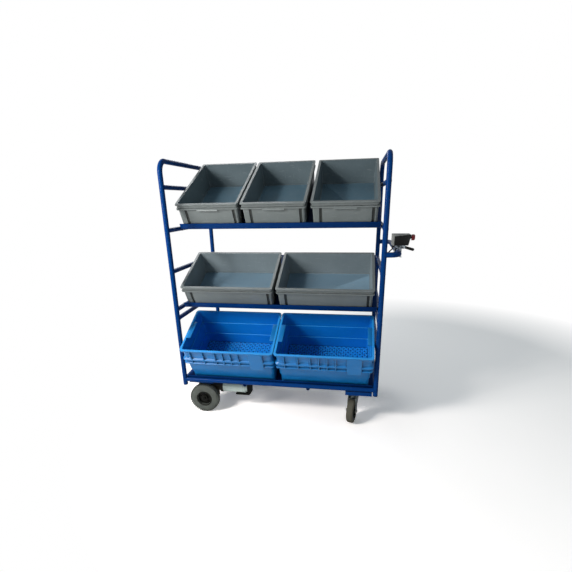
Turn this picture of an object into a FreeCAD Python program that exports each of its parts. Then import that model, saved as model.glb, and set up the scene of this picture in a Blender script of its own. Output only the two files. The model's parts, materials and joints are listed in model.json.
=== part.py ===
import FreeCAD
import Part
import math
import os

# Order picking trolley: tube frame, tilted trays with containers, driven wheels and castors
# Sizes are in millimetres and angles in degrees

# Frame tubes
post_diameter = 30.0
rung_diameter = 28.0
cross_tube_diameter = 25.0
tube_wall = 2.0
frame_length = 1286.0
frame_depth = 724.0
post_foot_height = 226.0
top_rail_height = 1640.0
hoop_bend_radius = 70.0
base_rail_height = 262.0
brace_rung_height = 697.0
plug_depth = 24.0
plug_foot = 3.0

# Trays
tray_tilt = 26.5
tray_count = 3
tray_pitch = 495.0
tray_setback = 69.0
front_rung_rise = 5.0
tray_depth = 612.0
tray_sheet = 2.0
tray_lip = 40.0
tray_side_flange = 22.0
tray_flange_start = 22.0
tray_rear_flange = 30.0
tray_corner_relief = 5.0
rear_rung_rise = 250.0

# Bolts
bolt_diameter = 8.0
bolt_head_width = 13.0
bolt_head_height = 5.5
bolt_clearance = 0.3
tray_bolt_grip = 12.0
nut_height = 6.5

# Grey bins
bin_width = 396.0
bin_depth = 596.0
bin_height = 170.0
bin_wall = 3.0
bin_floor = 3.5
bin_floor_rise = 9.0
bin_foot_width = 12.0
bin_base_inset = 12.0
bin_top_inset = 9.0
bin_corner_radius = 12.0
bin_rim_band = 16.0
bin_lower_band = 20.0
bin_band_step = 3.0
bin_rib_pitch = 62.0
bin_groove_width = 20.0
bin_groove_depth = 5.0
bin_groove_from_corner = 38.0
bin_grip_width = 120.0
bin_grip_drop = 7.0
bin_rim_round = 1.2
bin_lip_gap = 3.0
top_bin_wide_gap = 25.0
top_bin_narrow_gap = 13.0
middle_bin_gap = 20.0

# Blue crates
crate_width = 608.0
crate_depth = 384.0
crate_height = 300.0
crate_wall = 4.0
crate_floor = 4.0
crate_base_inset = 14.0
crate_top_inset = 12.0
crate_corner_radius = 20.0
crate_collar = 125.0
crate_step = 2.5
crate_rib = 6.0
crate_pocket_depth = 6.0
crate_rim_height = 12.0
crate_ledge_height = 10.0
crate_lower_row = 26.0
crate_grip_length = 150.0
crate_grip_reach = 28.0
crate_grip_thickness = 5.0
crate_rim_round = 1.5
crate_gap = 4.0
crate_shift = 9.0
crate_step_shares = (0.32, 0.66)
crate_front_rib_shares = (0.0, 0.10, 0.24, 0.37, 0.455, 0.54, 0.625, 0.74, 0.88, 1.0)
crate_side_rib_shares = (0.0, 0.14, 0.32, 0.5, 0.68, 0.86, 1.0)
crate_plate_index = 7

# Push handle
handle_diameter = 30.0
handle_height = 1112.0
handle_reach = 85.0
handle_bend_radius = 56.0

# Control head on the handle's crossbar
head_from_leg = 137.0
head_length = 90.0
head_width = 70.0
head_height = 52.0
head_lift = 40.0
head_overhang = 68.0
head_round = 5.0
cover_thickness = 11.0
cover_strip = 15.0
cover_round = 3.0
bracket_length = 40.0
bracket_width = 50.0
bracket_round = 3.0
clamp_thickness = 11.0
clamp_slit = 1.0
clamp_bolt_diameter = 6.0
clamp_bolt_inset = 8.0
lever_diameter = 16.0
lever_boss_diameter = 19.0
lever_length = 66.0
lever_droop = 16.0
lever_drop = 10.5
lever_pin_diameter = 6.0
lever_ear_thickness = 6.0
lever_side_gap = 0.5
lever_end_gap = 1.0
button_diameter = 34.0
button_height = 18.0
button_neck_diameter = 14.0
button_neck_length = 26.0
button_travel = 4.0
button_collar_diameter = 18.0
button_collar_height = 1.5
button_round = 4.0
button_from_top = 9.0
running_gap = 0.05
cable_diameter = 7.0
gland_diameter = 14.0
gland_height = 6.0
cable_trim_share = 0.45
cable_exit_side = 13.0
cable_entry_reach = 21.0
cable_way_shares = ((0.095, 0.11, 0.375), (0.571, 0.422, 0.65), (0.952, 0.771, 0.85))

# Base beams and cross tubes
castor_beam_height = 25.0
drive_beam_height = 8.0
beam_wall = 3.0
drive_beam_start = 30.0
castor_beam_start = 22.0
beam_length = 168.0
hanger_tube_place = -220.0
battery_tube_place = 210.0
cross_tube_gap = 1.0

# Driven wheels and their gear motors
wheel_radius = 105.0
wheel_width = 50.0
wheel_place = -529.0
wheel_face_inset = 19.0
rim_radius = 54.0
rim_web = 8.0
rim_flange = 6.0
rim_flange_width = 5.0
hub_radius = 22.0
tyre_shoulder = 14.0
tyre_steps = 6
axle_radius = 10.0
axle_boss_gap = 2.0
wheel_bolt_circle = 35.0
wheel_bolt_count = 5
wheel_nut_width = 22.0
wheel_nut_height = 10.0
gearbox_radius = 58.0
gearbox_depth = 92.0
gearbox_gap = 8.0
gearbox_round = 6.0
worm_rise = 60.0
worm_radius = 34.0
worm_tail = 62.0
motor_flange_radius = 44.0
motor_flange_length = 18.0
motor_start = 119.0
motor_radius = 40.0
motor_length = 162.0
motor_cap_radius = 36.0
motor_cap_length = 14.0
motor_groove = 2.0
drive_plate_thickness = 6.0
drive_plate_half_length = 60.0
drive_plate_bottom = 62.0
drive_flange_depth = 60.0
drive_bolt_spread = 42.0
hanger_foot_length = 88.0
hanger_foot_thickness = 10.0
hanger_width = 62.0
hanger_leg = 22.0
hanger_chamfer = 12.0

# Castors
castor_radius = 80.0
castor_width = 44.0
castor_place_x = 508.0
castor_place_y = 274.0
castor_trail = 45.0
castor_yaw = 12.0
castor_rim_radius = 60.0
castor_rim_web = 10.0
castor_shoulder = 9.0
castor_plate_length = 105.0
castor_plate_width = 85.0
castor_plate_thickness = 5.0
castor_bolt_spread_x = 80.0
castor_bolt_spread_y = 60.0
castor_race_radius = 32.0
castor_race_height = 12.0
castor_play = 0.4
fork_sheet = 4.0
fork_gap = 3.0
fork_top_radius = 30.0
fork_foot_radius = 16.0
kingpin_radius = 8.0
kingpin_head_radius = 13.0
kingpin_head_height = 7.0
castor_axle_radius = 6.0
castor_hub_radius = 16.0
castor_nut_width = 18.0
castor_nut_height = 8.0

# Battery deck under the lowest tray
deck_sheet = 3.0
deck_depth = 230.0
deck_front = 60.0
deck_overhang = 20.0
battery_length = 250.0
battery_width = 175.0
battery_height = 150.0
battery_round = 6.0
battery_inset = 16.0
controller_length = 120.0
controller_width = 150.0
controller_height = 60.0
controller_fin = 4.0
controller_fin_count = 7
controller_fin_height = 12.0
controller_gap = 25.0

# Cuts run past the faces by overrun, and places closer than same_place count as one
overrun = 1.0
same_place = 0.1

# Worked out places
Vector = FreeCAD.Vector
ORIGIN = Vector(0, 0, 0)
ALONG_X = Vector(1, 0, 0)
ALONG_Y = Vector(0, 1, 0)
ALONG_Z = Vector(0, 0, 1)
post_radius = post_diameter / 2
rung_radius = rung_diameter / 2
half_length = frame_length / 2
half_depth = frame_depth / 2
tray_half = half_length - rung_radius
rail_bottom = base_rail_height - rung_radius
castor_beam_bottom = rail_bottom - castor_beam_height
drive_beam_bottom = rail_bottom - drive_beam_height
lowest_tray_height = base_rail_height - front_rung_rise
cross_tube_height = lowest_tray_height - cross_tube_gap - cross_tube_diameter / 2
tilt = math.radians(tray_tilt)
slope = Vector(0, math.cos(tilt), math.sin(tilt))
lift = Vector(0, -math.sin(tilt), math.cos(tilt))
lowest_tray_front = (rung_radius + front_rung_rise * math.sin(tilt)) / math.cos(tilt) - half_depth
bar_x = half_length + handle_reach
head_end = bar_x + head_overhang
head_start = head_end - head_length
head_place = head_from_leg - half_depth
head_bottom = handle_height + head_lift
head_top = head_bottom + head_height
nodes = {}


def box(low, high):
    """Block between two corners."""
    size = high - low
    return Part.makeBox(size.x, size.y, size.z, low)


def span(first, second):
    """Block between two opposite corners in any order."""
    low = Vector(min(first.x, second.x), min(first.y, second.y), min(first.z, second.z))
    high = Vector(max(first.x, second.x), max(first.y, second.y), max(first.z, second.z))
    return box(low, high)


def rod(start, end, radius):
    """Round bar between two points."""
    run = end - start
    return Part.makeCylinder(radius, run.Length, start, run)


def pipe(start, end, radius):
    """Straight tube between two points."""
    run = (end - start).normalize() * overrun
    return rod(start, end, radius).cut(rod(start - run, end + run, radius - tube_wall))


def turned(profile, centre, axis):
    """Solid of revolution from (radius, distance along axis) points."""
    points = [Vector(radius, 0, distance) for radius, distance in profile]
    face = Part.Face(Part.makePolygon(points + [points[0]]))
    solid = face.revolve(ORIGIN, ALONG_Z, 360)
    solid.Placement = FreeCAD.Placement(centre, FreeCAD.Rotation(ALONG_Z, axis))
    return solid


def hexagon(centre, axis, width, height):
    """Hexagon prism for bolt heads and nuts."""
    corner = width / math.sqrt(3)
    points = [Vector(corner * math.cos(math.pi * i / 3), corner * math.sin(math.pi * i / 3), 0)
              for i in range(7)]
    solid = Part.Face(Part.makePolygon(points)).extrude(ALONG_Z * height)
    solid.Placement = FreeCAD.Placement(centre, FreeCAD.Rotation(ALONG_Z, axis))
    return solid


def bolt(seat, axis, grip, diameter, width, height):
    """Hexagon bolt: the head stands on the seat, the shank runs against the axis."""
    shank = rod(seat - axis * grip, seat, diameter / 2)
    return hexagon(seat, axis, width, height).fuse(shank).removeSplitter()


def m8(seat, axis, grip):
    """The frame's standard bolt."""
    return bolt(seat, axis, grip, bolt_diameter, bolt_head_width, bolt_head_height)


def rounded_loop(width, depth, radius, height):
    """Rounded rectangle about the Z axis."""
    x = width / 2 - radius
    y = depth / 2 - radius
    turn = radius * math.sqrt(0.5)
    edges = []
    for sx, sy in ((1, 1), (-1, 1), (-1, -1), (1, -1)):
        centre = Vector(sx * x, sy * y, height)
        first = centre + (Vector(radius * sx, 0, 0) if sx == sy else Vector(0, radius * sy, 0))
        last = centre + (Vector(0, radius * sy, 0) if sx == sy else Vector(radius * sx, 0, 0))
        middle = centre + Vector(turn * sx, turn * sy, 0)
        if edges:
            edges.append(Part.LineSegment(edges[-1].Vertexes[-1].Point, first).toShape())
        edges.append(Part.Arc(first, middle, last).toShape())
    last = edges[-1].Vertexes[-1].Point
    edges.append(Part.LineSegment(last, edges[0].Vertexes[0].Point).toShape())
    return Part.Wire(edges)


def drafted(low, low_size, high, high_size, radius):
    """Rounded block whose section changes evenly between two heights."""
    wires = [rounded_loop(*low_size, radius, low), rounded_loop(*high_size, radius, high)]
    return Part.makeLoft(wires, True, True)


def band(low, high, size, inner, radius):
    """Upright ring between two heights, down to the inner size."""
    outer = drafted(low, size, high, size, radius)
    hole = drafted(low - overrun, inner, high + overrun, inner, radius)
    return outer.cut(hole)


def inset(size, amount):
    """Section drawn in on every side."""
    return (size[0] - 2 * amount, size[1] - 2 * amount)


def to_side(shape, turn):
    """Turn a block made for the front wall to another wall."""
    moved = shape.copy()
    moved.rotate(ORIGIN, ALONG_Z, turn)
    return moved


def on_tray(shape, level, distance, across):
    """Stand a container on a tray: distance is from the lip's outer face, along the floor."""
    moved = shape.copy()
    moved.translate(Vector(across, distance, tray_sheet))
    return tilted(moved, level)


def tray_corner(level):
    """Front bottom edge of a tray, in the middle plane."""
    setback = level * tray_setback
    return Vector(0, lowest_tray_front + setback, lowest_tray_height + level * tray_pitch)


def tilted(shape, level):
    """Place a shape that is drawn level, with its front at zero, into a tray's slope."""
    shape.rotate(ORIGIN, ALONG_X, tray_tilt)
    shape.translate(tray_corner(level))
    return shape


def tray_bolt_places(level):
    """Centres of a tray's bolts in the side view, at its front and rear rungs."""
    corner = tray_corner(level)
    depth = tray_side_flange / 2
    places = []
    for rise in (front_rung_rise, rear_rung_rise):
        run = (rise + depth * lift.z) / slope.z
        places.append(corner + slope * run - lift * depth)
    return places


def bent_tube(points, bend, radius):
    """Tube through four corners: the two in the middle are bent to the given radius."""
    first, second, third, last = points
    edges = []
    start = first
    for before, corner, after in ((first, second, third), (second, third, last)):
        into = (corner - before).normalize()
        out = (after - corner).normalize()
        enter = corner - into * bend
        leave = corner + out * bend
        middle = corner + (out - into) * (bend * (1 - math.sqrt(0.5)))
        edges.append(Part.LineSegment(start, enter).toShape())
        edges.append(Part.Arc(enter, middle, leave).toShape())
        start = leave
    edges.append(Part.LineSegment(start, last).toShape())
    path = Part.Wire(edges)
    rings = [Part.Wire(Part.makeCircle(r, first, second - first)) for r in (radius, radius - tube_wall)]
    outer, inner = [path.makePipeShell([ring], True, True) for ring in rings]
    return outer.cut(inner)


def hoop(x):
    """One bent tube: front post, top rail and rear post."""
    corners = [Vector(x, -half_depth, post_foot_height), Vector(x, -half_depth, top_rail_height),
               Vector(x, half_depth, top_rail_height), Vector(x, half_depth, post_foot_height)]
    return bent_tube(corners, hoop_bend_radius, post_radius)


def posts(x):
    """Solid posts of one end, for coping the tubes that meet them."""
    return [rod(Vector(x, side * half_depth, post_foot_height),
                Vector(x, side * half_depth, top_rail_height), post_radius) for side in (-1, 1)]


def rung(x, height):
    """Tube from post to post at one end, coped to both."""
    tube = pipe(Vector(x, -half_depth, height), Vector(x, half_depth, height), rung_radius)
    return tube.cut(Part.makeCompound(posts(x)))


def tray_holes(x):
    """Bolt holes through the inner wall of the rungs at one end."""
    inward = math.copysign(1, -x)
    holes = []
    for level in range(tray_count):
        for place in tray_bolt_places(level):
            start = Vector(x, place.y, place.z)
            end = start + ALONG_X * inward * (rung_radius + overrun)
            holes.append(rod(start, end, bolt_diameter / 2 + bolt_clearance))
    return Part.makeCompound(holes)


def end_rungs(x):
    """Rungs of one end: a pair for each raised tray, the lowest tray's rear one and a brace."""
    heights = [brace_rung_height]
    for level in range(tray_count):
        height = tray_corner(level).z
        heights.append(height + rear_rung_rise)
        if level:
            heights.append(height + front_rung_rise)
    holes = tray_holes(x)
    return Part.makeCompound([rung(x, height).cut(holes) for height in sorted(heights)])


def long_rail_ends(side):
    """End points of the front or rear rail's axis."""
    end = Vector(half_length, side * half_depth, base_rail_height)
    return Vector(-end.x, end.y, end.z), end


def solid_long_rails():
    """Solid front and rear rails, for coping the tubes that meet them."""
    return Part.makeCompound([rod(*long_rail_ends(side), rung_radius) for side in (-1, 1)])


def base_rails():
    """Front and rear rails, and the end rails between the posts."""
    ends = Part.makeCompound(posts(-half_length) + posts(half_length))
    rails = [pipe(*long_rail_ends(side), rung_radius).cut(ends) for side in (-1, 1)]
    for x in (-half_length, half_length):
        rail = rung(x, base_rail_height).cut(solid_long_rails())
        rails.append(rail.cut(tray_holes(x)))
    return Part.makeCompound(rails)


def cross_tubes():
    """Tubes under the front and rear rails that carry the motor hangers and the battery deck."""
    tubes = []
    for x in (hanger_tube_place, battery_tube_place):
        front = Vector(x, -half_depth, cross_tube_height)
        rear = Vector(x, half_depth, cross_tube_height)
        tubes.append(pipe(front, rear, cross_tube_diameter / 2).cut(solid_long_rails()))
    return Part.makeCompound(tubes)


def beam(low_x, y, bottom, bolt_places):
    """Shallow sheet pan across the trolley, under both rails, open at the top."""
    low = Vector(low_x, -y, bottom)
    high = Vector(low_x + beam_length, y, rail_bottom)
    room_low = low + Vector(beam_wall, beam_wall, beam_wall)
    room_high = high + Vector(-beam_wall, -beam_wall, overrun)
    pan = box(low, high).cut(box(room_low, room_high))
    holes = [rod(place - ALONG_Z * overrun, place + ALONG_Z * (beam_wall + overrun),
                 bolt_diameter / 2 + bolt_clearance) for place in bolt_places]
    return pan.cut(Part.makeCompound(holes))


def tray(level):
    """Folded sheet: lip up at the front, flanges down at the sides and the rear."""
    floor = box(Vector(-tray_half, 0, 0), Vector(tray_half, tray_depth, tray_sheet))
    lip_half = tray_half - tray_corner_relief
    lip = box(Vector(-lip_half, 0, 0), Vector(lip_half, tray_sheet, tray_lip))
    rear = box(Vector(-lip_half, tray_depth - tray_sheet, -tray_rear_flange),
               Vector(lip_half, tray_depth, tray_sheet))
    flanges = []
    for x in (-tray_half, tray_half - tray_sheet):
        flanges.append(box(Vector(x, tray_flange_start, -tray_side_flange),
                           Vector(x + tray_sheet, tray_depth - tray_corner_relief, tray_sheet)))
    sheet = tilted(floor.multiFuse([lip, rear] + flanges).removeSplitter(), level)
    reach = ALONG_X * (half_length + overrun)
    holes = [rod(place - reach, place + reach, bolt_diameter / 2 + bolt_clearance)
             for place in tray_bolt_places(level)]
    return sheet.cut(Part.makeCompound(holes))


def tray_bolts():
    """Bolts from inside each tray's side flanges into the rungs."""
    bolts = []
    for level in range(tray_count):
        for place in tray_bolt_places(level):
            for side in (-1, 1):
                seat = Vector(side * (tray_half - tray_sheet), place.y, place.z)
                bolts.append(m8(seat, ALONG_X * -side, tray_bolt_grip))
    return bolts


def foot_plugs():
    """Plastic plugs that close the posts at the bottom."""
    plugs = []
    for x in (-half_length, half_length):
        for y in (-half_depth, half_depth):
            foot = Vector(x, y, post_foot_height)
            flange = rod(foot - ALONG_Z * plug_foot, foot, post_radius)
            stem = rod(foot, foot + ALONG_Z * plug_depth, post_radius - tube_wall)
            plugs.append(flange.fuse(stem))
    return Part.makeCompound(plugs)


def push_handle():
    """Bent tube that stands out from the posts at one end, coped to both."""
    corners = [Vector(half_length, -half_depth, handle_height), Vector(bar_x, -half_depth, handle_height),
               Vector(bar_x, half_depth, handle_height), Vector(half_length, half_depth, handle_height)]
    tube = bent_tube(corners, handle_bend_radius, handle_diameter / 2)
    end = cable_route()[-1]
    entry = rod(end - ALONG_Y * handle_diameter / 2, end + ALONG_Y * overrun, cable_diameter / 2)
    return tube.cut(Part.makeCompound(posts(half_length) + [entry]))


def wall_block(half, along, width, depth, low, high, draft):
    """Block that lies half in and half out of the front wall and leans with it."""
    block = box(Vector(along - width / 2, -half - depth, low),
                Vector(along + width / 2, depth - half, high))
    block.rotate(Vector(0, -half, 0), ALONG_X, draft)
    return block


def euro_bin(width, depth):
    """Open stacking bin: stepped hollow rim, grooves near the corners, a grip at each short end."""
    size = (width, depth)
    base = inset(size, bin_base_inset)
    upper = inset(size, bin_top_inset)
    band_bottom = bin_height - bin_rim_band - bin_lower_band
    draft = math.degrees(math.atan((bin_base_inset - bin_top_inset) / bin_height))
    body = drafted(0, base, bin_height, upper, bin_corner_radius)
    rise = bin_height + overrun
    spread = (upper[0] - base[0]) * rise / bin_height
    mouth = inset((base[0] + spread, base[1] + spread), bin_wall)
    inner_foot = inset(base, bin_foot_width)
    inner_radius = bin_corner_radius - bin_wall
    recess = drafted(-overrun, inner_foot, bin_floor_rise, inner_foot, inner_radius)
    cavity = drafted(bin_floor_rise + bin_floor, inset(base, bin_wall), rise, mouth, inner_radius)
    grooves = []
    backs = []
    for turn, half, run in ((0, base[1] / 2, base[0]), (180, base[1] / 2, base[0]),
                            (90, base[0] / 2, base[1]), (270, base[0] / 2, base[1])):
        for side in (-1, 1):
            along = side * (run / 2 - bin_groove_from_corner)
            groove = wall_block(half, along, bin_groove_width, bin_groove_depth, -overrun,
                                band_bottom, draft)
            back = wall_block(half, along, bin_groove_width + 2 * bin_wall,
                              bin_groove_depth + bin_wall, -overrun, band_bottom + bin_wall, draft)
            grooves.append(to_side(groove, turn))
            backs.append(to_side(back, turn))
    hollow = cavity.cut(Part.makeCompound(backs))
    shell = body.cut(Part.makeCompound(grooves + [recess])).cut(hollow)
    rim_low = bin_height - bin_rim_band
    ledge_top = rim_low + bin_wall
    stepped = inset(size, bin_band_step)
    rim = band(rim_low, bin_height, size, inset(size, bin_wall), bin_corner_radius)
    top = band(bin_height - bin_wall, bin_height, size, inset(upper, bin_wall), inner_radius)
    ledge = band(rim_low, ledge_top, size, inset(stepped, bin_wall), inner_radius)
    skirt = band(band_bottom, ledge_top, stepped, inset(stepped, bin_wall), bin_corner_radius)
    ribs = []
    for turn, half, run in ((0, size[1] / 2, base[0]), (180, size[1] / 2, base[0]),
                            (90, size[0] / 2, base[1]), (270, size[0] / 2, base[1])):
        count = int(run / bin_rib_pitch)
        for i in range(count):
            along = (i - (count - 1) / 2) * bin_rib_pitch
            near = bin_band_step + bin_wall / 2 - half
            far = bin_base_inset - half
            rib = box(Vector(along - bin_wall / 2, near, band_bottom),
                      Vector(along + bin_wall / 2, far, bin_height - bin_wall / 2))
            ribs.append(to_side(rib, turn).cut(cavity))
    grips = []
    for turn in ((0, 180) if width < depth else (90, 270)):
        half = max(size) / 2 - bin_band_step
        grip = box(Vector(-bin_grip_width / 2, -half, band_bottom - bin_grip_drop),
                   Vector(bin_grip_width / 2, bin_wall - half, band_bottom + bin_wall))
        grips.append(to_side(grip, turn))
    whole = shell.multiFuse([rim, top, ledge, skirt] + ribs + grips).removeSplitter()
    return rounded_rim(whole, bin_height, size, bin_rim_round)


def rounded_rim(shape, height, size, radius):
    """Round the outer top edge of a container."""
    edges = []
    for edge in shape.Edges:
        box_of = edge.BoundBox
        reach = max(abs(box_of.XMin), abs(box_of.XMax)) / size[0]
        depth = max(abs(box_of.YMin), abs(box_of.YMax)) / size[1]
        level = max(abs(box_of.ZMin - height), abs(box_of.ZMax - height)) < same_place
        outer = abs(max(reach, depth) - 1 / 2) < same_place / max(size)
        if level and outer:
            edges.append(edge)
    return shape.makeFillet(radius, edges)


def crate():
    """Open tapered crate with stepped walls and a deep collar of two rows of pockets."""
    size = (crate_width, crate_depth)
    base = inset(size, crate_base_inset)
    slope_in = (crate_base_inset - crate_top_inset) / crate_height
    levels = [0] + [share * crate_height for share in crate_step_shares] + [crate_height]
    outers = []
    hollows = []
    for i in range(len(levels) - 1):
        low_size = inset(base, -levels[i] * slope_in - i * crate_step)
        high_size = inset(base, -levels[i + 1] * slope_in - i * crate_step)
        outers.append(drafted(levels[i], low_size, levels[i + 1], high_size, crate_corner_radius))
        floor = crate_floor if i == 0 else 0
        top = overrun if i == len(levels) - 2 else 0
        hollows.append(drafted(levels[i] + floor, inset(low_size, crate_wall), levels[i + 1] + top,
                               inset(high_size, crate_wall), crate_corner_radius - crate_wall))
    collar_low = crate_height - crate_collar
    collar = drafted(collar_low, size, crate_height, size, crate_corner_radius)
    whole = outers[0].multiFuse(outers[1:] + [collar]).cut(Part.makeCompound(hollows[:1]))
    for hollow in hollows[1:]:
        whole = whole.cut(hollow)
    lower_low = collar_low + crate_ledge_height / 2
    rows = ((lower_low, lower_low + crate_lower_row),
            (lower_low + crate_lower_row + crate_ledge_height, crate_height - crate_rim_height))
    pockets = []
    for turn, half, run, shares in ((0, size[1] / 2, size[0], crate_front_rib_shares),
                                    (180, size[1] / 2, size[0], crate_front_rib_shares),
                                    (90, size[0] / 2, size[1], crate_side_rib_shares),
                                    (270, size[0] / 2, size[1], crate_side_rib_shares)):
        for i in range(len(shares) - 1):
            if shares is crate_front_rib_shares and i == crate_plate_index:
                continue
            start = max(shares[i] * run + crate_rib / 2, crate_corner_radius) - run / 2
            end = min(shares[i + 1] * run - crate_rib / 2, run - crate_corner_radius) - run / 2
            for low, high in rows:
                pocket = box(Vector(start, -half - overrun, low),
                             Vector(end, crate_pocket_depth - half, high))
                pockets.append(to_side(pocket, turn))
    whole = whole.cut(Part.makeCompound(pockets))
    grips = []
    for turn in (90, 270):
        near = crate_pocket_depth - size[0] / 2
        low = crate_height - crate_grip_thickness
        grip = box(Vector(-crate_grip_length / 2, near, low),
                   Vector(crate_grip_length / 2, near + crate_grip_reach, crate_height))
        grips.append(to_side(grip, turn))
    whole = whole.multiFuse(grips).removeSplitter()
    return rounded_rim(whole, crate_height, size, crate_rim_round)


def containers():
    """Bins end on in the top tray, bins side on in the middle one and crates in the lowest."""
    narrow = euro_bin(bin_width, bin_depth)
    wide = euro_bin(bin_depth, bin_width)
    blue = crate()
    seat = tray_sheet + bin_lip_gap - bin_base_inset
    row = 3 * bin_width + top_bin_wide_gap + top_bin_narrow_gap
    first = (bin_width - row) / 2
    second = first + bin_width + top_bin_narrow_gap
    third = second + bin_width + top_bin_wide_gap
    made = {}
    for name, across in (("left", first), ("middle", second), ("right", third)):
        made["bin_top_" + name] = on_tray(narrow, 2, seat + bin_depth / 2, across)
    for name, side in (("left", -1), ("right", 1)):
        across = side * (bin_depth + middle_bin_gap) / 2
        made["bin_middle_" + name] = on_tray(wide, 1, seat + bin_width / 2, across)
        across = crate_shift + side * (crate_width + crate_gap) / 2
        distance = tray_sheet + bin_lip_gap - crate_base_inset + crate_depth / 2
        made["crate_" + name] = on_tray(blue, 0, distance, across)
    return made


def head_bracket():
    """Clamp block on the crossbar, with ears for the lever."""
    start = bar_x - bracket_length / 2
    end = start + bracket_length
    low = Vector(start, head_place - bracket_width / 2, handle_height + clamp_slit)
    block = box(low, Vector(end, head_place + bracket_width / 2, head_bottom))
    block = block.makeFillet(bracket_round, [edge for edge in block.Edges if upright(edge)])
    pivot = lever_pivot()
    inner = lever_diameter / 2 + lever_side_gap
    ears = []
    for side in (-1, 1):
        near = head_place + side * inner
        far = near + side * lever_ear_thickness
        root = Vector(end - bracket_round, near, pivot.z - lever_boss_diameter / 2)
        tip = Vector(pivot.x + lever_boss_diameter / 2, far, head_bottom)
        ears.append(span(root, tip))
    reach = ALONG_Y * (inner + lever_ear_thickness + overrun)
    cuts = [rod(pivot - reach, pivot + reach, lever_pin_diameter / 2), bar_hole()]
    for place in clamp_bolt_places():
        cuts.append(rod(place - ALONG_Z * overrun, place + ALONG_Z * clamp_bolt_reach(),
                        clamp_bolt_diameter / 2))
    return block.multiFuse(ears).cut(Part.makeCompound(cuts))


def upright(edge):
    """True for a straight edge along Z."""
    box_of = edge.BoundBox
    return box_of.ZLength > overrun and max(box_of.XLength, box_of.YLength) < same_place


def bar_hole():
    """Room for the crossbar through the clamp."""
    reach = ALONG_Y * (bracket_width / 2 + overrun)
    centre = Vector(bar_x, head_place, handle_height)
    return rod(centre - reach, centre + reach, handle_diameter / 2)


def clamp_bolt_reach():
    """Depth of the clamp's bolts above the middle of the crossbar."""
    return handle_diameter / 2 + clamp_bolt_diameter


def clamp_bolt_places():
    """Four bolts, two on each side of the crossbar."""
    x = (handle_diameter + clamp_bolt_diameter) / 2 + running_gap
    y = bracket_width / 2 - clamp_bolt_inset
    return [Vector(bar_x + sx * x, head_place + sy * y, handle_height)
            for sx in (-1, 1) for sy in (-1, 1)]


def head_clamp():
    """Lower half of the clamp."""
    bottom = handle_height - handle_diameter / 2 - clamp_thickness
    half_x = bracket_length / 2
    half_y = bracket_width / 2
    cap = box(Vector(bar_x - half_x, head_place - half_y, bottom),
              Vector(bar_x + half_x, head_place + half_y, handle_height - clamp_slit))
    cap = cap.makeFillet(bracket_round, [edge for edge in cap.Edges if upright(edge)])
    drop = ALONG_Z * (handle_height - bottom + overrun)
    cuts = [rod(place - drop, place, clamp_bolt_diameter / 2) for place in clamp_bolt_places()]
    return cap.cut(Part.makeCompound([bar_hole()] + cuts))


def clamp_bolts():
    """Bolts that pull the clamp together from below."""
    bottom = handle_height - handle_diameter / 2 - clamp_thickness
    bolts = []
    for place in clamp_bolt_places():
        seat = Vector(place.x, place.y, bottom)
        grip = handle_height + clamp_bolt_reach() - bottom
        width = clamp_bolt_diameter * math.sqrt(3)
        bolts.append(bolt(seat, -ALONG_Z, grip, clamp_bolt_diameter, width, clamp_bolt_diameter / 2))
    return Part.makeCompound(bolts)


def button_seat():
    """Centre of the stop button on the head's end."""
    return Vector(head_end, head_place, head_top - button_from_top)


def head_body():
    """The control head's rounded block."""
    low = Vector(head_start, head_place - head_width / 2, head_bottom)
    high = Vector(head_end, head_place + head_width / 2, head_top)
    body = box(low, high)
    return body.makeFillet(head_round, [edge for edge in body.Edges if upright(edge)])


def head_housing():
    """Control head's body, with the bore that guides the stop button."""
    seat = button_seat()
    bore = rod(seat - ALONG_X * (button_neck_length + button_travel), seat + ALONG_X * overrun,
               button_neck_diameter / 2 + running_gap)
    return head_body().cut(bore)


def head_cover():
    """Cap over the head, folded down at the side towards the frame."""
    low = Vector(head_start - cover_strip, head_place - head_width / 2, head_bottom)
    high = Vector(head_end - head_round, head_place + head_width / 2, head_top + cover_thickness)
    cap = box(low, high)
    cap = cap.makeFillet(cover_round, [edge for edge in cap.Edges if edge.BoundBox.ZMin > head_top])
    room = box(Vector(head_start, low.y - overrun, low.z - overrun),
               Vector(head_end + overrun, high.y + overrun, head_top))
    return cap.cut(room)


def stop_button():
    """Mushroom button on a round neck."""
    half = button_diameter / 2
    head_low = button_collar_height + button_travel + running_gap
    profile = [(0, -button_neck_length), (button_neck_diameter / 2, -button_neck_length),
               (button_neck_diameter / 2, head_low), (half, head_low),
               (half, head_low + button_height - button_round),
               (half - button_round, head_low + button_height), (0, head_low + button_height)]
    return turned(profile, button_seat(), ALONG_X)


def button_collar():
    """Ring on the housing round the button's neck."""
    inner = button_neck_diameter / 2 + running_gap
    outer = button_collar_diameter / 2
    profile = [(inner, 0), (outer, 0), (outer, button_collar_height), (inner, button_collar_height)]
    return turned(profile, button_seat(), ALONG_X)


def lever_pivot():
    """Centre of the lever's pin."""
    return Vector(bar_x + (bracket_length + lever_boss_diameter) / 2 + lever_end_gap, head_place,
                  head_bottom - lever_drop)


def drive_lever():
    """Round lever under the head, with a boss on its pin."""
    pivot = lever_pivot()
    half = lever_diameter / 2
    boss = rod(pivot - ALONG_Y * half, pivot + ALONG_Y * half, lever_boss_diameter / 2)
    end = pivot + ALONG_X * (lever_length - half)
    grip = rod(pivot, end, half).fuse(Part.makeSphere(half, end))
    lever = boss.fuse(grip).removeSplitter()
    reach = ALONG_Y * (half + overrun)
    lever = lever.cut(rod(pivot - reach, pivot + reach, lever_pin_diameter / 2 + running_gap))
    lever.rotate(pivot, ALONG_Y, lever_droop)
    return lever


def lever_pin():
    """Pin through the ears."""
    pivot = lever_pivot()
    reach = ALONG_Y * (lever_diameter / 2 + lever_side_gap + lever_ear_thickness)
    return rod(pivot - reach, pivot + reach, lever_pin_diameter / 2)


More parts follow.
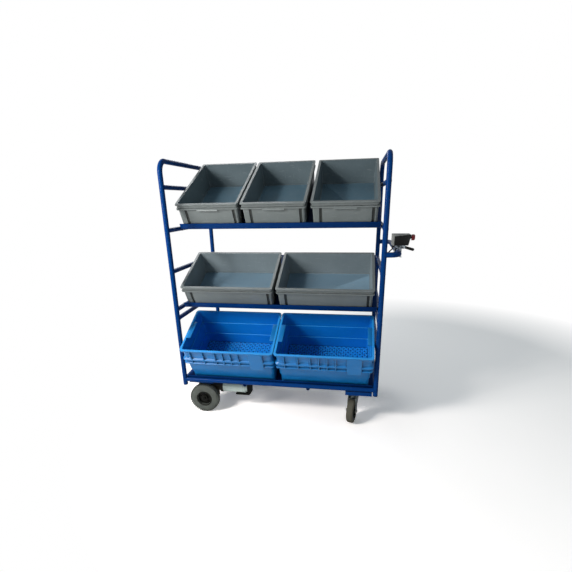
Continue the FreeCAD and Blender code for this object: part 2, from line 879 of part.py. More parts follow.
def cable_route():
    """Points of the lead: out of the head, along its way and into the handle's front leg."""
    start = Vector(head_start - cover_strip / 2, head_place - cable_exit_side, head_bottom - gland_height)
    end = Vector(half_length + cable_entry_reach, handle_diameter / 2 - half_depth, handle_height)
    run = end - start
    way = [start + Vector(run.x * x, run.y * y, run.z * z) for x, y, z in cable_way_shares]
    return [start] + way + [end]


def cable_path(points):
    """Straight runs joined by the largest tangent arcs that the runs allow."""
    edges = []
    start = points[0]
    for before, corner, after in zip(points, points[1:], points[2:]):
        into = (corner - before).normalize()
        out = (after - corner).normalize()
        turn = into.getAngle(out)
        trim = cable_trim_share * min((corner - before).Length, (after - corner).Length)
        radius = trim / math.tan(turn / 2)
        first = corner - into * trim
        last = corner + out * trim
        inward = (out - into).normalize()
        middle = corner + inward * (radius / math.cos(turn / 2) - radius)
        edges.append(Part.LineSegment(start, first).toShape())
        edges.append(Part.Arc(first, middle, last).toShape())
        start = last
    edges.append(Part.LineSegment(start, points[-1]).toShape())
    return Part.Wire(edges)


def control_cable():
    """Lead from the control head into the handle's front leg."""
    points = cable_route()
    path = cable_path(points)
    ring = Part.Wire(Part.makeCircle(cable_diameter / 2, points[0], points[1] - points[0]))
    return path.makePipeShell([ring], True, True)


def cable_glands(lead):
    """Gland under the head and grommet at the handle's leg, both bored for the lead."""
    route = cable_route()
    first = route[0]
    last = route[-1]
    seat = Vector(first.x, first.y, head_bottom)
    gland = rod(seat, first - ALONG_Z * gland_height, gland_diameter / 2)
    grommet = rod(last - ALONG_Y * gland_height / 2, last + ALONG_Y * gland_height, gland_diameter / 2)
    leg = rod(Vector(half_length, -half_depth, handle_height), Vector(bar_x, -half_depth, handle_height),
              handle_diameter / 2)
    return Part.makeCompound([gland.cut(lead), grommet.cut(leg).cut(lead)])


def wheel_frame(side):
    """Centre of a driven wheel's outer face and the direction out of the trolley."""
    outward = ALONG_Y * side
    return Vector(wheel_place, side * (half_depth - wheel_face_inset), wheel_radius), outward


def tyre_profile(seat, radius, width, shoulder, steps):
    """Section of a tyre with round shoulders, as (radius, distance) points."""
    wall = radius - shoulder
    profile = [(seat, 0), (wall, 0)]
    for i in range(1, steps):
        angle = math.pi / 2 * i / steps
        profile.append((wall + shoulder * math.sin(angle), shoulder * (1 - math.cos(angle))))
    profile.append((radius, shoulder))
    return profile + [(distance, width - along) for distance, along in reversed(profile)]


def drive_tyre(side):
    """Tyre with rounded shoulders on a flat rim seat."""
    face, outward = wheel_frame(side)
    profile = tyre_profile(rim_radius, wheel_radius, wheel_width, tyre_shoulder, tyre_steps)
    return turned(profile, face, -outward)


def drive_rim(side):
    """Dished rim: a flange ring at each side, a web and a hub."""
    face, outward = wheel_frame(side)
    ring = rim_radius - rim_flange
    web_start = (wheel_width - rim_web) / 2
    web_end = (wheel_width + rim_web) / 2
    hub_end = wheel_width + gearbox_gap - axle_boss_gap
    profile = [(axle_radius, rim_flange_width), (hub_radius, rim_flange_width), (hub_radius, web_start),
               (ring, web_start), (ring, 0), (rim_radius, 0), (rim_radius, wheel_width),
               (ring, wheel_width), (ring, web_end), (hub_radius, web_end), (hub_radius, hub_end),
               (axle_radius, hub_end)]
    rim = turned(profile, face, -outward)
    through = outward * (rim_web + overrun)
    holes = [rod(place + outward * overrun, place - through, bolt_diameter / 2)
             for place in wheel_bolt_places(side)]
    return rim.cut(Part.makeCompound(holes))


def wheel_bolt_places(side):
    """Bolt seats on the outer side of a rim's web."""
    face, outward = wheel_frame(side)
    depth = (wheel_width - rim_web) / 2
    places = []
    for i in range(wheel_bolt_count):
        angle = 2 * math.pi * i / wheel_bolt_count
        spoke = Vector(math.sin(angle), 0, math.cos(angle)) * wheel_bolt_circle
        places.append(face - outward * depth + spoke)
    return places


def wheel_fasteners(side):
    """Web bolts and the nut on the axle's end."""
    face, outward = wheel_frame(side)
    pieces = [m8(place, outward, rim_web) for place in wheel_bolt_places(side)]
    seat = face - outward * rim_flange_width
    nut = hexagon(seat, outward, wheel_nut_width, wheel_nut_height)
    pieces.append(nut.cut(drive_axle(side)))
    return Part.makeCompound(pieces)


def drive_axle(side):
    """Output shaft from inside the gearbox to the nut."""
    face, outward = wheel_frame(side)
    inner = face - outward * (wheel_width + gearbox_gap + gearbox_depth / 2)
    return rod(inner, face - outward * (rim_flange_width - wheel_nut_height), axle_radius)


def gearbox_face(side):
    """Centre of the gearbox's face behind the wheel."""
    face, outward = wheel_frame(side)
    return face - outward * (wheel_width + gearbox_gap)


def worm_centre(side):
    """Middle of the worm shaft, above the wheel's axle."""
    _, outward = wheel_frame(side)
    return gearbox_face(side) - outward * (gearbox_depth / 2) + ALONG_Z * worm_rise


def gearbox(side):
    """Round worm gear case with a tube for the worm and a flange for the motor."""
    _, outward = wheel_frame(side)
    face = gearbox_face(side)
    rear = face - outward * gearbox_depth
    case = rod(face, rear, gearbox_radius)
    circles = [edge for edge in case.Edges if edge.BoundBox.YLength < overrun]
    case = case.makeFillet(gearbox_round, circles)
    centre = worm_centre(side)
    flange_end = centre + ALONG_X * motor_start
    flange_start = flange_end - ALONG_X * motor_flange_length
    case = case.multiFuse([rod(centre - ALONG_X * worm_tail, flange_start, worm_radius),
                           rod(flange_start, flange_end, motor_flange_radius)]).removeSplitter()
    bore_end = face - outward * (gearbox_depth / 2 + axle_boss_gap)
    cuts = [rod(face + outward * overrun, bore_end, axle_radius + running_gap)]
    cuts += [rod(place - outward * overrun, place + outward * drive_bolt_depth(), bolt_diameter / 2)
             for place in gearbox_bolt_places(side)]
    return case.cut(Part.makeCompound(cuts))


def drive_bolt_depth():
    """Thread depth of the bolts in the gearbox."""
    return 2 * bolt_diameter


def gearbox_bolt_places(side):
    """Four bolts on the gearbox's rear face."""
    _, outward = wheel_frame(side)
    rear = gearbox_face(side) - outward * gearbox_depth
    half = drive_bolt_spread / 2
    return [rear + Vector(sx * half, 0, sz * half) for sx in (-1, 1) for sz in (-1, 1)]


def drive_bracket(side):
    """Folded plate that hangs the gearbox under the cross beam."""
    _, outward = wheel_frame(side)
    rear = gearbox_face(side) - outward * gearbox_depth
    half = ALONG_X * drive_plate_half_length
    foot = Vector(rear.x, rear.y, drive_plate_bottom)
    head = Vector(rear.x, rear.y, drive_beam_bottom)
    plate = span(foot - half, head + half - outward * drive_plate_thickness)
    flange = span(head - half, head + half - outward * drive_flange_depth - ALONG_Z * drive_plate_thickness)
    bracket = plate.fuse(flange).removeSplitter()
    radius = bolt_diameter / 2 + bolt_clearance
    through = drive_plate_thickness + overrun
    cuts = [rod(place + outward * overrun, place - outward * through, radius)
            for place in gearbox_bolt_places(side)]
    cuts += [rod(place + ALONG_Z * overrun, place - ALONG_Z * through, radius)
             for place in drive_beam_bolt_places(side)]
    return bracket.cut(Part.makeCompound(cuts))


def drive_beam_bolt_places(side):
    """Bolts through the bracket's flange into the beam's web."""
    _, outward = wheel_frame(side)
    rear = gearbox_face(side) - outward * gearbox_depth
    depth = (drive_flange_depth + drive_plate_thickness) / 2
    place = rear - outward * depth + ALONG_Z * (drive_beam_bottom - rear.z)
    return [place + ALONG_X * sx * drive_bolt_spread for sx in (-1, 1)]


def drive_motor(side):
    """Motor can on the gearbox's flange, with a seam groove near each end."""
    start = worm_centre(side) + ALONG_X * motor_start
    seam = motor_cap_length
    deep = motor_radius - motor_groove
    near = [(motor_radius, 0), (motor_radius, seam), (deep, seam + motor_groove),
            (motor_radius, seam + 2 * motor_groove)]
    far = [(radius, motor_length - distance) for radius, distance in reversed(near)]
    return turned([(0, 0)] + near + far + [(0, motor_length)], start, ALONG_X)


def motor_cap(side):
    """Brake cover on the motor's free end."""
    start = worm_centre(side) + ALONG_X * (motor_start + motor_length)
    edge = motor_groove * 2
    profile = [(0, 0), (motor_cap_radius, 0), (motor_cap_radius, motor_cap_length - edge),
               (motor_cap_radius - edge, motor_cap_length), (0, motor_cap_length)]
    return turned(profile, start, ALONG_X)


def motor_hanger(side):
    """Foot under the motor and a leg up to the cross tube."""
    centre = worm_centre(side)
    foot_top = centre.z - motor_radius
    foot_low = foot_top - hanger_foot_thickness
    leg_end = hanger_tube_place + hanger_leg / 2
    leg_start = leg_end - hanger_leg
    low_y = centre.y - hanger_width / 2
    high_y = centre.y + hanger_width / 2
    leg_top = cross_tube_height - cross_tube_diameter / 2
    leg = box(Vector(leg_start, low_y, foot_low), Vector(leg_end, high_y, leg_top))
    foot_start = leg_start - hanger_foot_length
    foot = box(Vector(foot_start, low_y, foot_low), Vector(leg_end, high_y, foot_top))
    hanger = leg.fuse(foot).removeSplitter()
    corner = [edge for edge in hanger.Edges if edge.BoundBox.XMin > leg_end - overrun
              and edge.BoundBox.ZMax < foot_low + overrun]
    return hanger.makeChamfer(hanger_chamfer, corner)


def castor_frame(side):
    """Swivel point under the beam, and the trailing and axle directions."""
    yaw = math.radians(castor_yaw)
    swivel = Vector(castor_place_x, side * castor_place_y, castor_beam_bottom)
    trail = Vector(-math.sin(yaw), -math.cos(yaw), 0)
    axle = Vector(math.cos(yaw), -math.sin(yaw), 0)
    return swivel, trail, axle


def castor_centre(side):
    """Centre of a castor's wheel."""
    swivel, trail, _ = castor_frame(side)
    return Vector(swivel.x, swivel.y, castor_radius) + trail * castor_trail


def castor_bolt_places(side):
    """Bolts through a castor's plate into the beam's web."""
    swivel, _, _ = castor_frame(side)
    return [swivel + Vector(sx * castor_bolt_spread_x / 2, sy * castor_bolt_spread_y / 2, 0)
            for sx in (-1, 1) for sy in (-1, 1)]


def castor_plate(side):
    """Square plate bolted under the beam."""
    swivel, _, _ = castor_frame(side)
    half = Vector(castor_plate_length / 2, castor_plate_width / 2, 0)
    plate = box(swivel - half - ALONG_Z * castor_plate_thickness, swivel + half)
    corners = [edge for edge in plate.Edges if upright(edge)]
    plate = plate.makeFillet(bolt_diameter, corners)
    down = ALONG_Z * (castor_plate_thickness + overrun)
    cuts = [rod(place - down, place + ALONG_Z * overrun, bolt_diameter / 2 + bolt_clearance)
            for place in castor_bolt_places(side)]
    cuts.append(rod(swivel - down, swivel + ALONG_Z * overrun, kingpin_radius))
    return plate.cut(Part.makeCompound(cuts))


def fork_crown(side):
    """Middle of the underside of a fork's crown."""
    swivel, _, _ = castor_frame(side)
    return swivel - ALONG_Z * (castor_plate_thickness + castor_play + castor_race_height + fork_sheet)


def kingpin(side):
    """Pin from the plate through the fork, with a head under the crown."""
    swivel, _, _ = castor_frame(side)
    neck = fork_crown(side) - ALONG_Z * castor_play
    head = rod(neck - ALONG_Z * kingpin_head_height, neck, kingpin_head_radius)
    return rod(neck, swivel, kingpin_radius).fuse(head).removeSplitter()


def castor_fork(side):
    """Race ring, crown and two legs that reach down to the axle."""
    _, trail, axle = castor_frame(side)
    crown = fork_crown(side)
    crown_top = crown + ALONG_Z * fork_sheet
    race_top = crown_top + ALONG_Z * castor_race_height
    centre = castor_centre(side)
    inner = castor_width / 2 + fork_gap
    outer = inner + fork_sheet
    legs = []
    for sign in (-1, 1):
        start = axle * sign * inner
        half = trail * fork_top_radius
        toe = trail * fork_foot_radius
        drop = ALONG_Z * fork_foot_radius
        foot = centre + start
        points = [crown_top + start - half, crown_top + start + half, foot + toe, foot + toe - drop,
                  foot - toe - drop, foot - toe]
        face = Part.Face(Part.makePolygon(points + [points[0]]))
        legs.append(face.extrude(axle * sign * fork_sheet))
    race = rod(crown_top, race_top, castor_race_radius)
    plate = rod(crown, crown_top, outer + fork_sheet)
    fork = race.multiFuse([plate] + legs).removeSplitter()
    reach = axle * (outer + overrun)
    cuts = [rod(centre - reach, centre + reach, castor_axle_radius),
            rod(crown - ALONG_Z * overrun, race_top + ALONG_Z * overrun, kingpin_radius + running_gap)]
    return fork.cut(Part.makeCompound(cuts))


def castor_axle(side):
    """Axle bolt through the fork with a nut at its far end."""
    _, _, axle = castor_frame(side)
    centre = castor_centre(side)
    seat = castor_width / 2 + fork_gap + fork_sheet
    end = seat + castor_nut_height + fork_gap
    head = hexagon(centre + axle * seat, axle, castor_nut_width, castor_nut_height)
    shank = rod(centre - axle * end, centre + axle * seat, castor_axle_radius)
    nut = hexagon(centre - axle * seat, -axle, castor_nut_width, castor_nut_height).cut(shank)
    return Part.makeCompound([head.fuse(shank).removeSplitter(), nut])


def castor_rim(side):
    """Rim with a web and a long hub that runs on the axle."""
    _, _, axle = castor_frame(side)
    start = castor_centre(side) - axle * (castor_width / 2)
    wide = castor_width
    web_start = (wide - castor_rim_web) / 2
    ring = castor_rim_radius - castor_rim_web
    bore = castor_axle_radius + running_gap
    hub_low = castor_play - fork_gap
    near = [(bore, hub_low), (castor_hub_radius, hub_low), (castor_hub_radius, web_start),
            (ring, web_start), (ring, 0), (castor_rim_radius, 0)]
    far = [(radius, wide - distance) for radius, distance in reversed(near)]
    return turned(near + far, start, axle)


def castor_tyre(side):
    """Solid tread with round shoulders."""
    _, _, axle = castor_frame(side)
    start = castor_centre(side) - axle * (castor_width / 2)
    profile = tyre_profile(castor_rim_radius, castor_radius, castor_width, castor_shoulder, tyre_steps)
    return turned(profile, start, axle)


def frame_bolts():
    """All the frame's standard bolts, with nuts: trays, castor plates, gearboxes and brackets."""
    bolts = tray_bolts()
    for side in (-1, 1):
        _, outward = wheel_frame(side)
        for place in castor_bolt_places(side):
            seat = place - ALONG_Z * castor_plate_thickness
            bolts += bolt_and_nut(seat, castor_beam_bottom + beam_wall)
        for place in drive_beam_bolt_places(side):
            seat = place - ALONG_Z * drive_plate_thickness
            bolts += bolt_and_nut(seat, drive_beam_bottom + beam_wall)
        for place in gearbox_bolt_places(side):
            seat = place - outward * drive_plate_thickness
            bolts.append(m8(seat, -outward, drive_plate_thickness + drive_bolt_depth()))
    return Part.makeCompound(bolts)


def bolt_and_nut(seat, top):
    """Bolt from below with a nut on the beam's web."""
    grip = top - seat.z + nut_height
    shank = m8(seat, -ALONG_Z, grip)
    nut = hexagon(Vector(seat.x, seat.y, top), ALONG_Z, bolt_head_width, nut_height)
    return [shank, nut.cut(shank)]


def battery_deck():
    """Plate on the cross tubes under the lowest tray."""
    corner = deck_corner()
    far = Vector(battery_tube_place + deck_overhang, deck_front + deck_depth, corner.z - deck_sheet)
    return span(corner, far)


def battery_pack():
    """Closed battery case on the deck."""
    low = deck_corner() + Vector(battery_inset, battery_inset, 0)
    case = box(low, low + Vector(battery_length, battery_width, battery_height))
    raised = [edge for edge in case.Edges if edge.BoundBox.ZMax > low.z + overrun]
    return case.makeFillet(battery_round, raised)


def deck_corner():
    """Upper front corner of the deck."""
    return Vector(hanger_tube_place - deck_overhang, deck_front,
                  cross_tube_height + cross_tube_diameter / 2 + deck_sheet)


def motor_controller():
    """Controller case with cooling fins along its top."""
    low = deck_corner() + Vector(battery_inset + battery_length + controller_gap, battery_inset, 0)
    case = box(low, low + Vector(controller_length, controller_width, controller_height))
    pitch = (controller_length - controller_fin) / (controller_fin_count - 1)
    fins = []
    for i in range(controller_fin_count):
        foot = low + Vector(i * pitch, 0, controller_height)
        size = Vector(controller_fin, controller_width, controller_fin_height)
        fins.append(box(foot, foot + size))
    return case.multiFuse(fins).removeSplitter()


def build():
    """Make every sub-part under its node name."""
    for name, x in (("left", -half_length), ("right", half_length)):
        nodes["end_hoop_" + name] = hoop(x)
        nodes["end_rungs_" + name] = end_rungs(x)
    nodes["base_rails"] = base_rails()
    nodes["cross_tubes"] = cross_tubes()
    drive_places = drive_beam_bolt_places(-1) + drive_beam_bolt_places(1)
    castor_places = castor_bolt_places(-1) + castor_bolt_places(1)
    nodes["drive_beam"] = beam(drive_beam_start - half_length, half_depth, drive_beam_bottom, drive_places)
    nodes["castor_beam"] = beam(half_length - castor_beam_start - beam_length, half_depth + rung_radius,
                                castor_beam_bottom, castor_places)
    for level, name in enumerate(("lower", "middle", "upper")):
        nodes["tray_" + name] = tray(level)
    nodes["frame_bolts"] = frame_bolts()
    nodes["foot_plugs"] = foot_plugs()
    nodes["push_handle"] = push_handle()
    nodes.update(containers())
    nodes["head_bracket"] = head_bracket()
    nodes["head_clamp"] = head_clamp()
    nodes["head_clamp_bolts"] = clamp_bolts()
    nodes["head_housing"] = head_housing()
    nodes["head_cover"] = head_cover()
    nodes["stop_button"] = stop_button()
    nodes["button_collar"] = button_collar()
    nodes["drive_lever"] = drive_lever()
    nodes["lever_pin"] = lever_pin()
    nodes["control_cable"] = control_cable()
    nodes["cable_glands"] = cable_glands(nodes["control_cable"])
    for name, side in (("front", -1), ("rear", 1)):
        nodes["drive_tyre_" + name] = drive_tyre(side)
        nodes["drive_rim_" + name] = drive_rim(side)
        nodes["drive_axle_" + name] = drive_axle(side)
        nodes["wheel_fasteners_" + name] = wheel_fasteners(side)
        nodes["gearbox_" + name] = gearbox(side)
        nodes["drive_motor_" + name] = drive_motor(side)
        nodes["castor_fork_" + name] = castor_fork(side)
        nodes["castor_axle_" + name] = castor_axle(side)
        nodes["castor_rim_" + name] = castor_rim(side)
        nodes["castor_tyre_" + name] = castor_tyre(side)
    for name, maker in (("motor_caps", motor_cap), ("drive_brackets", drive_bracket),
                        ("motor_hangers", motor_hanger), ("castor_plates", castor_plate),
                        ("castor_kingpins", kingpin)):
        nodes[name] = Part.makeCompound([maker(side) for side in (-1, 1)])
    nodes["battery_deck"] = battery_deck()
    nodes["battery_pack"] = battery_pack()
    nodes["motor_controller"] = motor_controller()


build()

# The origin is the middle of the overall box, on the floor
overall = Part.makeCompound(list(nodes.values())).optimalBoundingBox(False)
to_origin = Vector(-overall.Center.x, -overall.Center.y, -overall.ZMin)
os.makedirs("parts", exist_ok=True)
for node, shape in nodes.items():
    shape.translate(to_origin)
    shape.exportStep("parts/" + node + ".step")
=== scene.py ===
import json
import math

import bmesh
import bpy
from mathutils import Matrix, Vector


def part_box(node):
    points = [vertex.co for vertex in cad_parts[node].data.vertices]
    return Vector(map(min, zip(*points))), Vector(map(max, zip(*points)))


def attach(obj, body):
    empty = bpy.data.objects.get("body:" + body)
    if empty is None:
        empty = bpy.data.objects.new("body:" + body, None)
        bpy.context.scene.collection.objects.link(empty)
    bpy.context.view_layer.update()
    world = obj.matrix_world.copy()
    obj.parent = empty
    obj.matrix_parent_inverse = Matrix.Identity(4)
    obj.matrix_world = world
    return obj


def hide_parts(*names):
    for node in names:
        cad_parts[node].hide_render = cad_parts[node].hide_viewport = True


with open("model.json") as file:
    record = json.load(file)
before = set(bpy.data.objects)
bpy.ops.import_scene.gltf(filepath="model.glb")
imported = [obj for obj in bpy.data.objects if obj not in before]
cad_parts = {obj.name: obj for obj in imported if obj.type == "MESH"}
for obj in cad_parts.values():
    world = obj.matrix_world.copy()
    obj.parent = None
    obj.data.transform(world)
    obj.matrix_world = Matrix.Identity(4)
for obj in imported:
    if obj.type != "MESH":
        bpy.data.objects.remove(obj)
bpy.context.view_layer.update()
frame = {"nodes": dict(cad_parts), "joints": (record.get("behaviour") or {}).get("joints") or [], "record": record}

scene = bpy.context.scene
nodes = frame["nodes"]
finishes = {}

# Camera, fitted to the photograph: place in metres, angles in degrees
camera_place = Vector((0.4070, -2.5193, 1.4104))
camera_heading = -10.036
camera_pitch = -19.649
camera_roll = -1.160
camera_lens = 23.879
camera_sensor = 36.0
camera_shift = (-0.0069, 0.0871)

# Light and floor: each lamp has a name, a place, a size, a power and a colour
lamp_aim = Vector((0.0, 0.0, 0.9))
lamps = (("key", (-2.0, -1.8, 1.7), (0.6, 1.1), 47.0, (1.0, 0.98, 0.95)),
         ("front", (-1.9, -2.2, 2.35), (0.45, 0.45), 52.0, (1.0, 0.99, 0.97)),
         ("fill", (1.7, -2.3, 1.0), (0.8, 0.8), 5.0, (0.97, 0.99, 1.0)),
         ("back", (-1.6, 3.0, 2.8), (2.0, 1.6), 36.0, (0.95, 0.98, 1.0)))
white = (1.0, 1.0, 1.0, 1.0)
sky_colour = (0.80, 0.93, 1.0, 1.0)
sky_light = 0.29
side_light = 0.21
mirrored_white = 0.35
floor_tones = ((0.935, 0.885, 0.86, 1.0), (0.965, 0.92, 0.895, 1.0))
floor_patch = 0.7
floor_roughness = 0.9
floor_gloss = 0.1
floor_half = 30.0
floor_glow = 0.13
floor_gain = 0.5
floor_middle = (0.9, 0.6, 0.0)
floor_white_from = 1.5
floor_white_to = 2.6

# Containers: a small round is drawn by its two ends and one point between them
corner_steps = 7
round_share = 0.3

# Grey bins
bin_wall = 0.003
bin_ribbed_wall = 0.0065
bin_floor = 0.0125
bin_base_inset = 0.012
bin_top_inset = 0.009
bin_corner = 0.011
bin_flange = 0.008
bin_band = 0.020
bin_band_inset = 0.006
bin_ledge = 0.009
bin_ledge_inset = 0.0005
bin_foot_round = 0.004
bin_foot_inset = 0.012
bin_foot_recess = 0.009
bin_floor_round = 0.006
bin_groove_width = 0.016
bin_groove_depth = 0.0055
bin_groove_slope = 0.0010
bin_groove_places = (0.057, 0.036)
bin_groove_top_gap = 0.003
bin_grip_width = 0.132
bin_grip_drop = 0.007
bin_grip_lip = 0.0035
bin_rib_pitch = 0.062
bin_rib_share = 0.7
bin_edge = 0.0009

# Blue crates
crate_wall = 0.004
crate_floor = 0.004
crate_floor_round = 0.005
crate_foot = ((0.010, 0.002), (0.006, 0), (0.002, 0.0008))
crate_foot_round = 0.005
crate_base_inset = 0.021
crate_top_inset = 0.010
crate_corner = 0.020
crate_collar = 0.125
crate_collar_foot = 0.005
crate_lower_row = 0.026
crate_ledge = 0.010
crate_rim = 0.012
crate_pocket = 0.0115
crate_lower_slope = 0.002
crate_upper_slope = 0.006
crate_step = 0.0052
crate_step_run = 0.003
crate_step_shares = (0.32, 0.66)
crate_rib = 0.006
crate_rib_inset = 0.0006
crate_rib_overlap = 0.001
crate_front_rib_shares = (0.10, 0.24, 0.37, 0.455, 0.54, 0.625, 0.74, 0.88)
crate_side_rib_shares = (0.14, 0.32, 0.5, 0.68, 0.86)
crate_plate_shares = (0.74, 0.88)
crate_plate_drop = 0.026
crate_plate_rise = 0.004
crate_plate_proud = 0.0008
crate_grip_length = 0.150
crate_grip_reach = 0.028
crate_grip_thickness = 0.005
crate_edge = 0.0012
crate_lattice_inset = 0.004
crate_lattice_pitch = 0.033
crate_lattice_bar = 0.0085
crate_lattice_height = 0.007

# Trays
tray_sheet = 0.002
tray_bend = 0.004
tray_bend_steps = 5
tray_sharp_angle = 50
tray_lip = 0.040
tray_side_flange = 0.022
tray_rear_flange = 0.030
tray_flange_start = 0.022

# Tube frame and its welds
post_radius = 0.015
rung_radius = 0.014
rung_heights = (0.507, 0.697, 0.757, 1.002, 1.252, 1.497)
base_rail_height = 0.262
weld_bead = 0.0026
weld_ripple = 260.0
weld_swell = (0.75, 1.2)
weld_sides = 8
weld_points = 40
handle_weld_inset = 0.0004

# Driven wheels
tread_depth = 0.0026
tread_side_drop = 0.0022
tread_row_shares = (-0.29, 0.0, 0.29)
tread_lug_count = 46
tread_lug_share = 0.62
tread_lug_width_share = 0.2
tyre_steps = 26
tyre_bead = 0.048
tyre_fullness = 0.62
tyre_waist = 0.84
wheel_segments = 96

# Castors
fork_sheet = 0.004
fork_inner = 0.025
fork_foot = 0.016
fork_crown = (0.166, 0.171)
fork_crown_reach = (-0.032, 0.056)
fork_roof = (0.2016, 0.2176)
fork_head = 0.034
fork_shoulder = (0.002, 0.006)
fork_race = 0.031
fork_race_step = 0.001
fork_bore = 0.0088
fork_foot_steps = 12
fork_head_segments = 64
fork_edge = 0.001

# Control head
head_cap_overlap = 0.003
head_cap_tip = 0.003
head_end_slant = 0.013
head_edge = 0.0016
cap_edge = 0.0014
edge_segments = 3


# Small helpers for meshes


def joint(name):
    """A joint of the frame by name."""
    return next(j for j in frame["joints"] if j["name"] == name)


up = Vector((0, 0, 1))
across = Vector((1, 0, 0))
rearward = Vector((0, 1, 0))
lift = Vector(joint("crate_left_lift")["axis"])
slope = lift.cross(across)
tray_axes = Matrix((across, slope, lift)).transposed().to_4x4()


def tray_box(node_name):
    """Lowest and highest corner of a node along the trays' own axes."""
    inverse = tray_axes.inverted()
    points = [inverse @ v.co for v in nodes[node_name].data.vertices]
    low = Vector([min(p[i] for p in points) for i in range(3)])
    high = Vector([max(p[i] for p in points) for i in range(3)])
    return low, high


def block(bm, low, high):
    """Add a cuboid between two corners to a bmesh."""
    matrix = Matrix.Translation((low + high) / 2) @ Matrix.Diagonal(high - low).to_4x4()
    bmesh.ops.create_cube(bm, size=1, matrix=matrix)


def wedge(bm, outline, low, high, axis):
    """Add a prism and return its corners: the outline lies square to the axis, in the order of the other two."""
    others = [i for i in range(3) if i != axis]
    rings = []
    for place in (low, high):
        ring = []
        for point in outline:
            co = [0.0, 0.0, 0.0]
            co[axis] = place
            co[others[0]], co[others[1]] = point
            ring.append(bm.verts.new(co))
        rings.append(ring)
    faces = [bm.faces.new(rings[0]), bm.faces.new(list(reversed(rings[1])))]
    count = len(outline)
    for i in range(count):
        j = (i + 1) % count
        faces.append(bm.faces.new((rings[0][i], rings[1][i], rings[1][j], rings[0][j])))
    bmesh.ops.recalc_face_normals(bm, faces=faces)
    return rings[0] + rings[1]


def plain_mesh(obj):
    """Evaluate an object's modifiers and keep the result as its plain mesh."""
    depsgraph = bpy.context.evaluated_depsgraph_get()
    mesh = bpy.data.meshes.new_from_object(obj.evaluated_get(depsgraph))
    mesh.name = obj.name
    obj.modifiers.clear()
    obj.data = mesh
    return mesh


def smooth(mesh, angle=32):
    """Shade smooth, with edges sharper than the angle kept crisp."""
    mesh.polygons.foreach_set("use_smooth", [True] * len(mesh.polygons))
    mesh.set_sharp_from_angle(angle=math.radians(angle))


def piece(name, bm, surfaces, bevel=0.0, segments=2, matrix=None, bevel_angle=38, thickness=0.0):
    """Turn a bmesh into an object at the origin, with rounded edges and its place in its mesh.

    The surfaces are names of finishes. A thickness makes a sheet of its faces first.
    """
    mesh = bpy.data.meshes.new(name)
    bm.to_mesh(mesh)
    bm.free()
    for surface in surfaces:
        mesh.materials.append(finishes[surface])
    obj = bpy.data.objects.new(name, mesh)
    scene.collection.objects.link(obj)
    if thickness:
        solid = obj.modifiers.new("sheet", "SOLIDIFY")
        solid.thickness = thickness
        solid.offset = 0
    if bevel:
        modifier = obj.modifiers.new("rounded edges", "BEVEL")
        modifier.width = bevel
        modifier.segments = segments
        modifier.limit_method = "ANGLE"
        modifier.angle_limit = math.radians(bevel_angle)
        mesh = plain_mesh(obj)
    if matrix is not None:
        mesh.transform(matrix)
    smooth(mesh)
    return obj


def stand_for(obj, body, slot, *replaced):
    """Let a piece ride on a body and stand for CAD nodes, which are hidden. The slot is not used."""
    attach(obj, body)
    if replaced:
        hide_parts(*replaced)


# Small helpers for node trees


def feed(tree, socket, value):
    """Give a socket a link or a plain value."""
    if isinstance(value, bpy.types.NodeSocket):
        tree.links.new(value, socket)
    else:
        socket.default_value = value


def add(tree, kind, inputs=None, **settings):
    """Add a node: settings are its properties, inputs its sockets by name or number."""
    made = tree.nodes.new(kind)
    for key, value in settings.items():
        setattr(made, key, value)
    for key, value in (inputs or {}).items():
        feed(tree, made.inputs[key], value)
    return made


def sum_of(tree, operation, first, second, clamp=False):
    """A Math node's value."""
    return add(tree, "ShaderNodeMath", {0: first, 1: second}, operation=operation, use_clamp=clamp).outputs[0]


def ramp(tree, value, low, high, to_low=0.0, to_high=1.0):
    """Stretch a value so that low and high become 0 and 1, or two other values."""
    return add(tree, "ShaderNodeMapRange", {"Value": value, "From Min": low, "From Max": high, "To Min": to_low,
                                            "To Max": to_high}).outputs["Result"]


def mixed(tree, share, first, second):
    """A mix of two colours."""
    made = add(tree, "ShaderNodeMix", {"Factor": share}, data_type="RGBA")
    colour_sockets = [s for s in made.inputs if s.type == "RGBA"]
    for socket, value in zip(colour_sockets, (first, second)):
        feed(tree, socket, value)
    return [s for s in made.outputs if s.type == "RGBA"][0]


def effect_group(name, inputs, outputs):
    """An empty shader group with named sockets, and its two end nodes."""
    tree = bpy.data.node_groups.new(name, "ShaderNodeTree")
    for way, labels in (("INPUT", inputs), ("OUTPUT", outputs)):
        for label in labels:
            tree.interface.new_socket(label, in_out=way, socket_type="NodeSocketFloat")
    return tree, tree.nodes.new("NodeGroupInput"), tree.nodes.new("NodeGroupOutput")


def noise(tree, vector, scale, detail=3.0, roughness=0.5):
    """Noise over a coordinate, from 0 to 1."""
    return add(tree, "ShaderNodeTexNoise", {"Vector": vector, "Scale": scale, "Detail": detail,
                                            "Roughness": roughness}).outputs["Fac"]


def place_of(tree):
    """Coordinates of the piece itself."""
    return add(tree, "ShaderNodeTexCoord").outputs["Object"]


# Effects that several finishes share: each range is stretched to 0 and 1

noise_middle = (0.3, 0.7)
edge_likeness = (0.995, 0.86)
edge_breaks = (0.38, 0.62)
dust_facing = (0.25, 0.95)
dust_patches = (0.25, 0.8)
line_turns = ((0.35, (1.0, 14.0, 1.0)), (1.2, (16.0, 1.0, 2.0)), (2.2, (2.0, 1.0, 13.0)))
line_range = (0.68, 0.74)
# Painted shade in recesses: noise scale, patch range and openness range of its mask
recess_shade_scale = 38.0
recess_shade_patches = (0.05, 0.55)
recess_shade_openness = (0.95, 0.35)


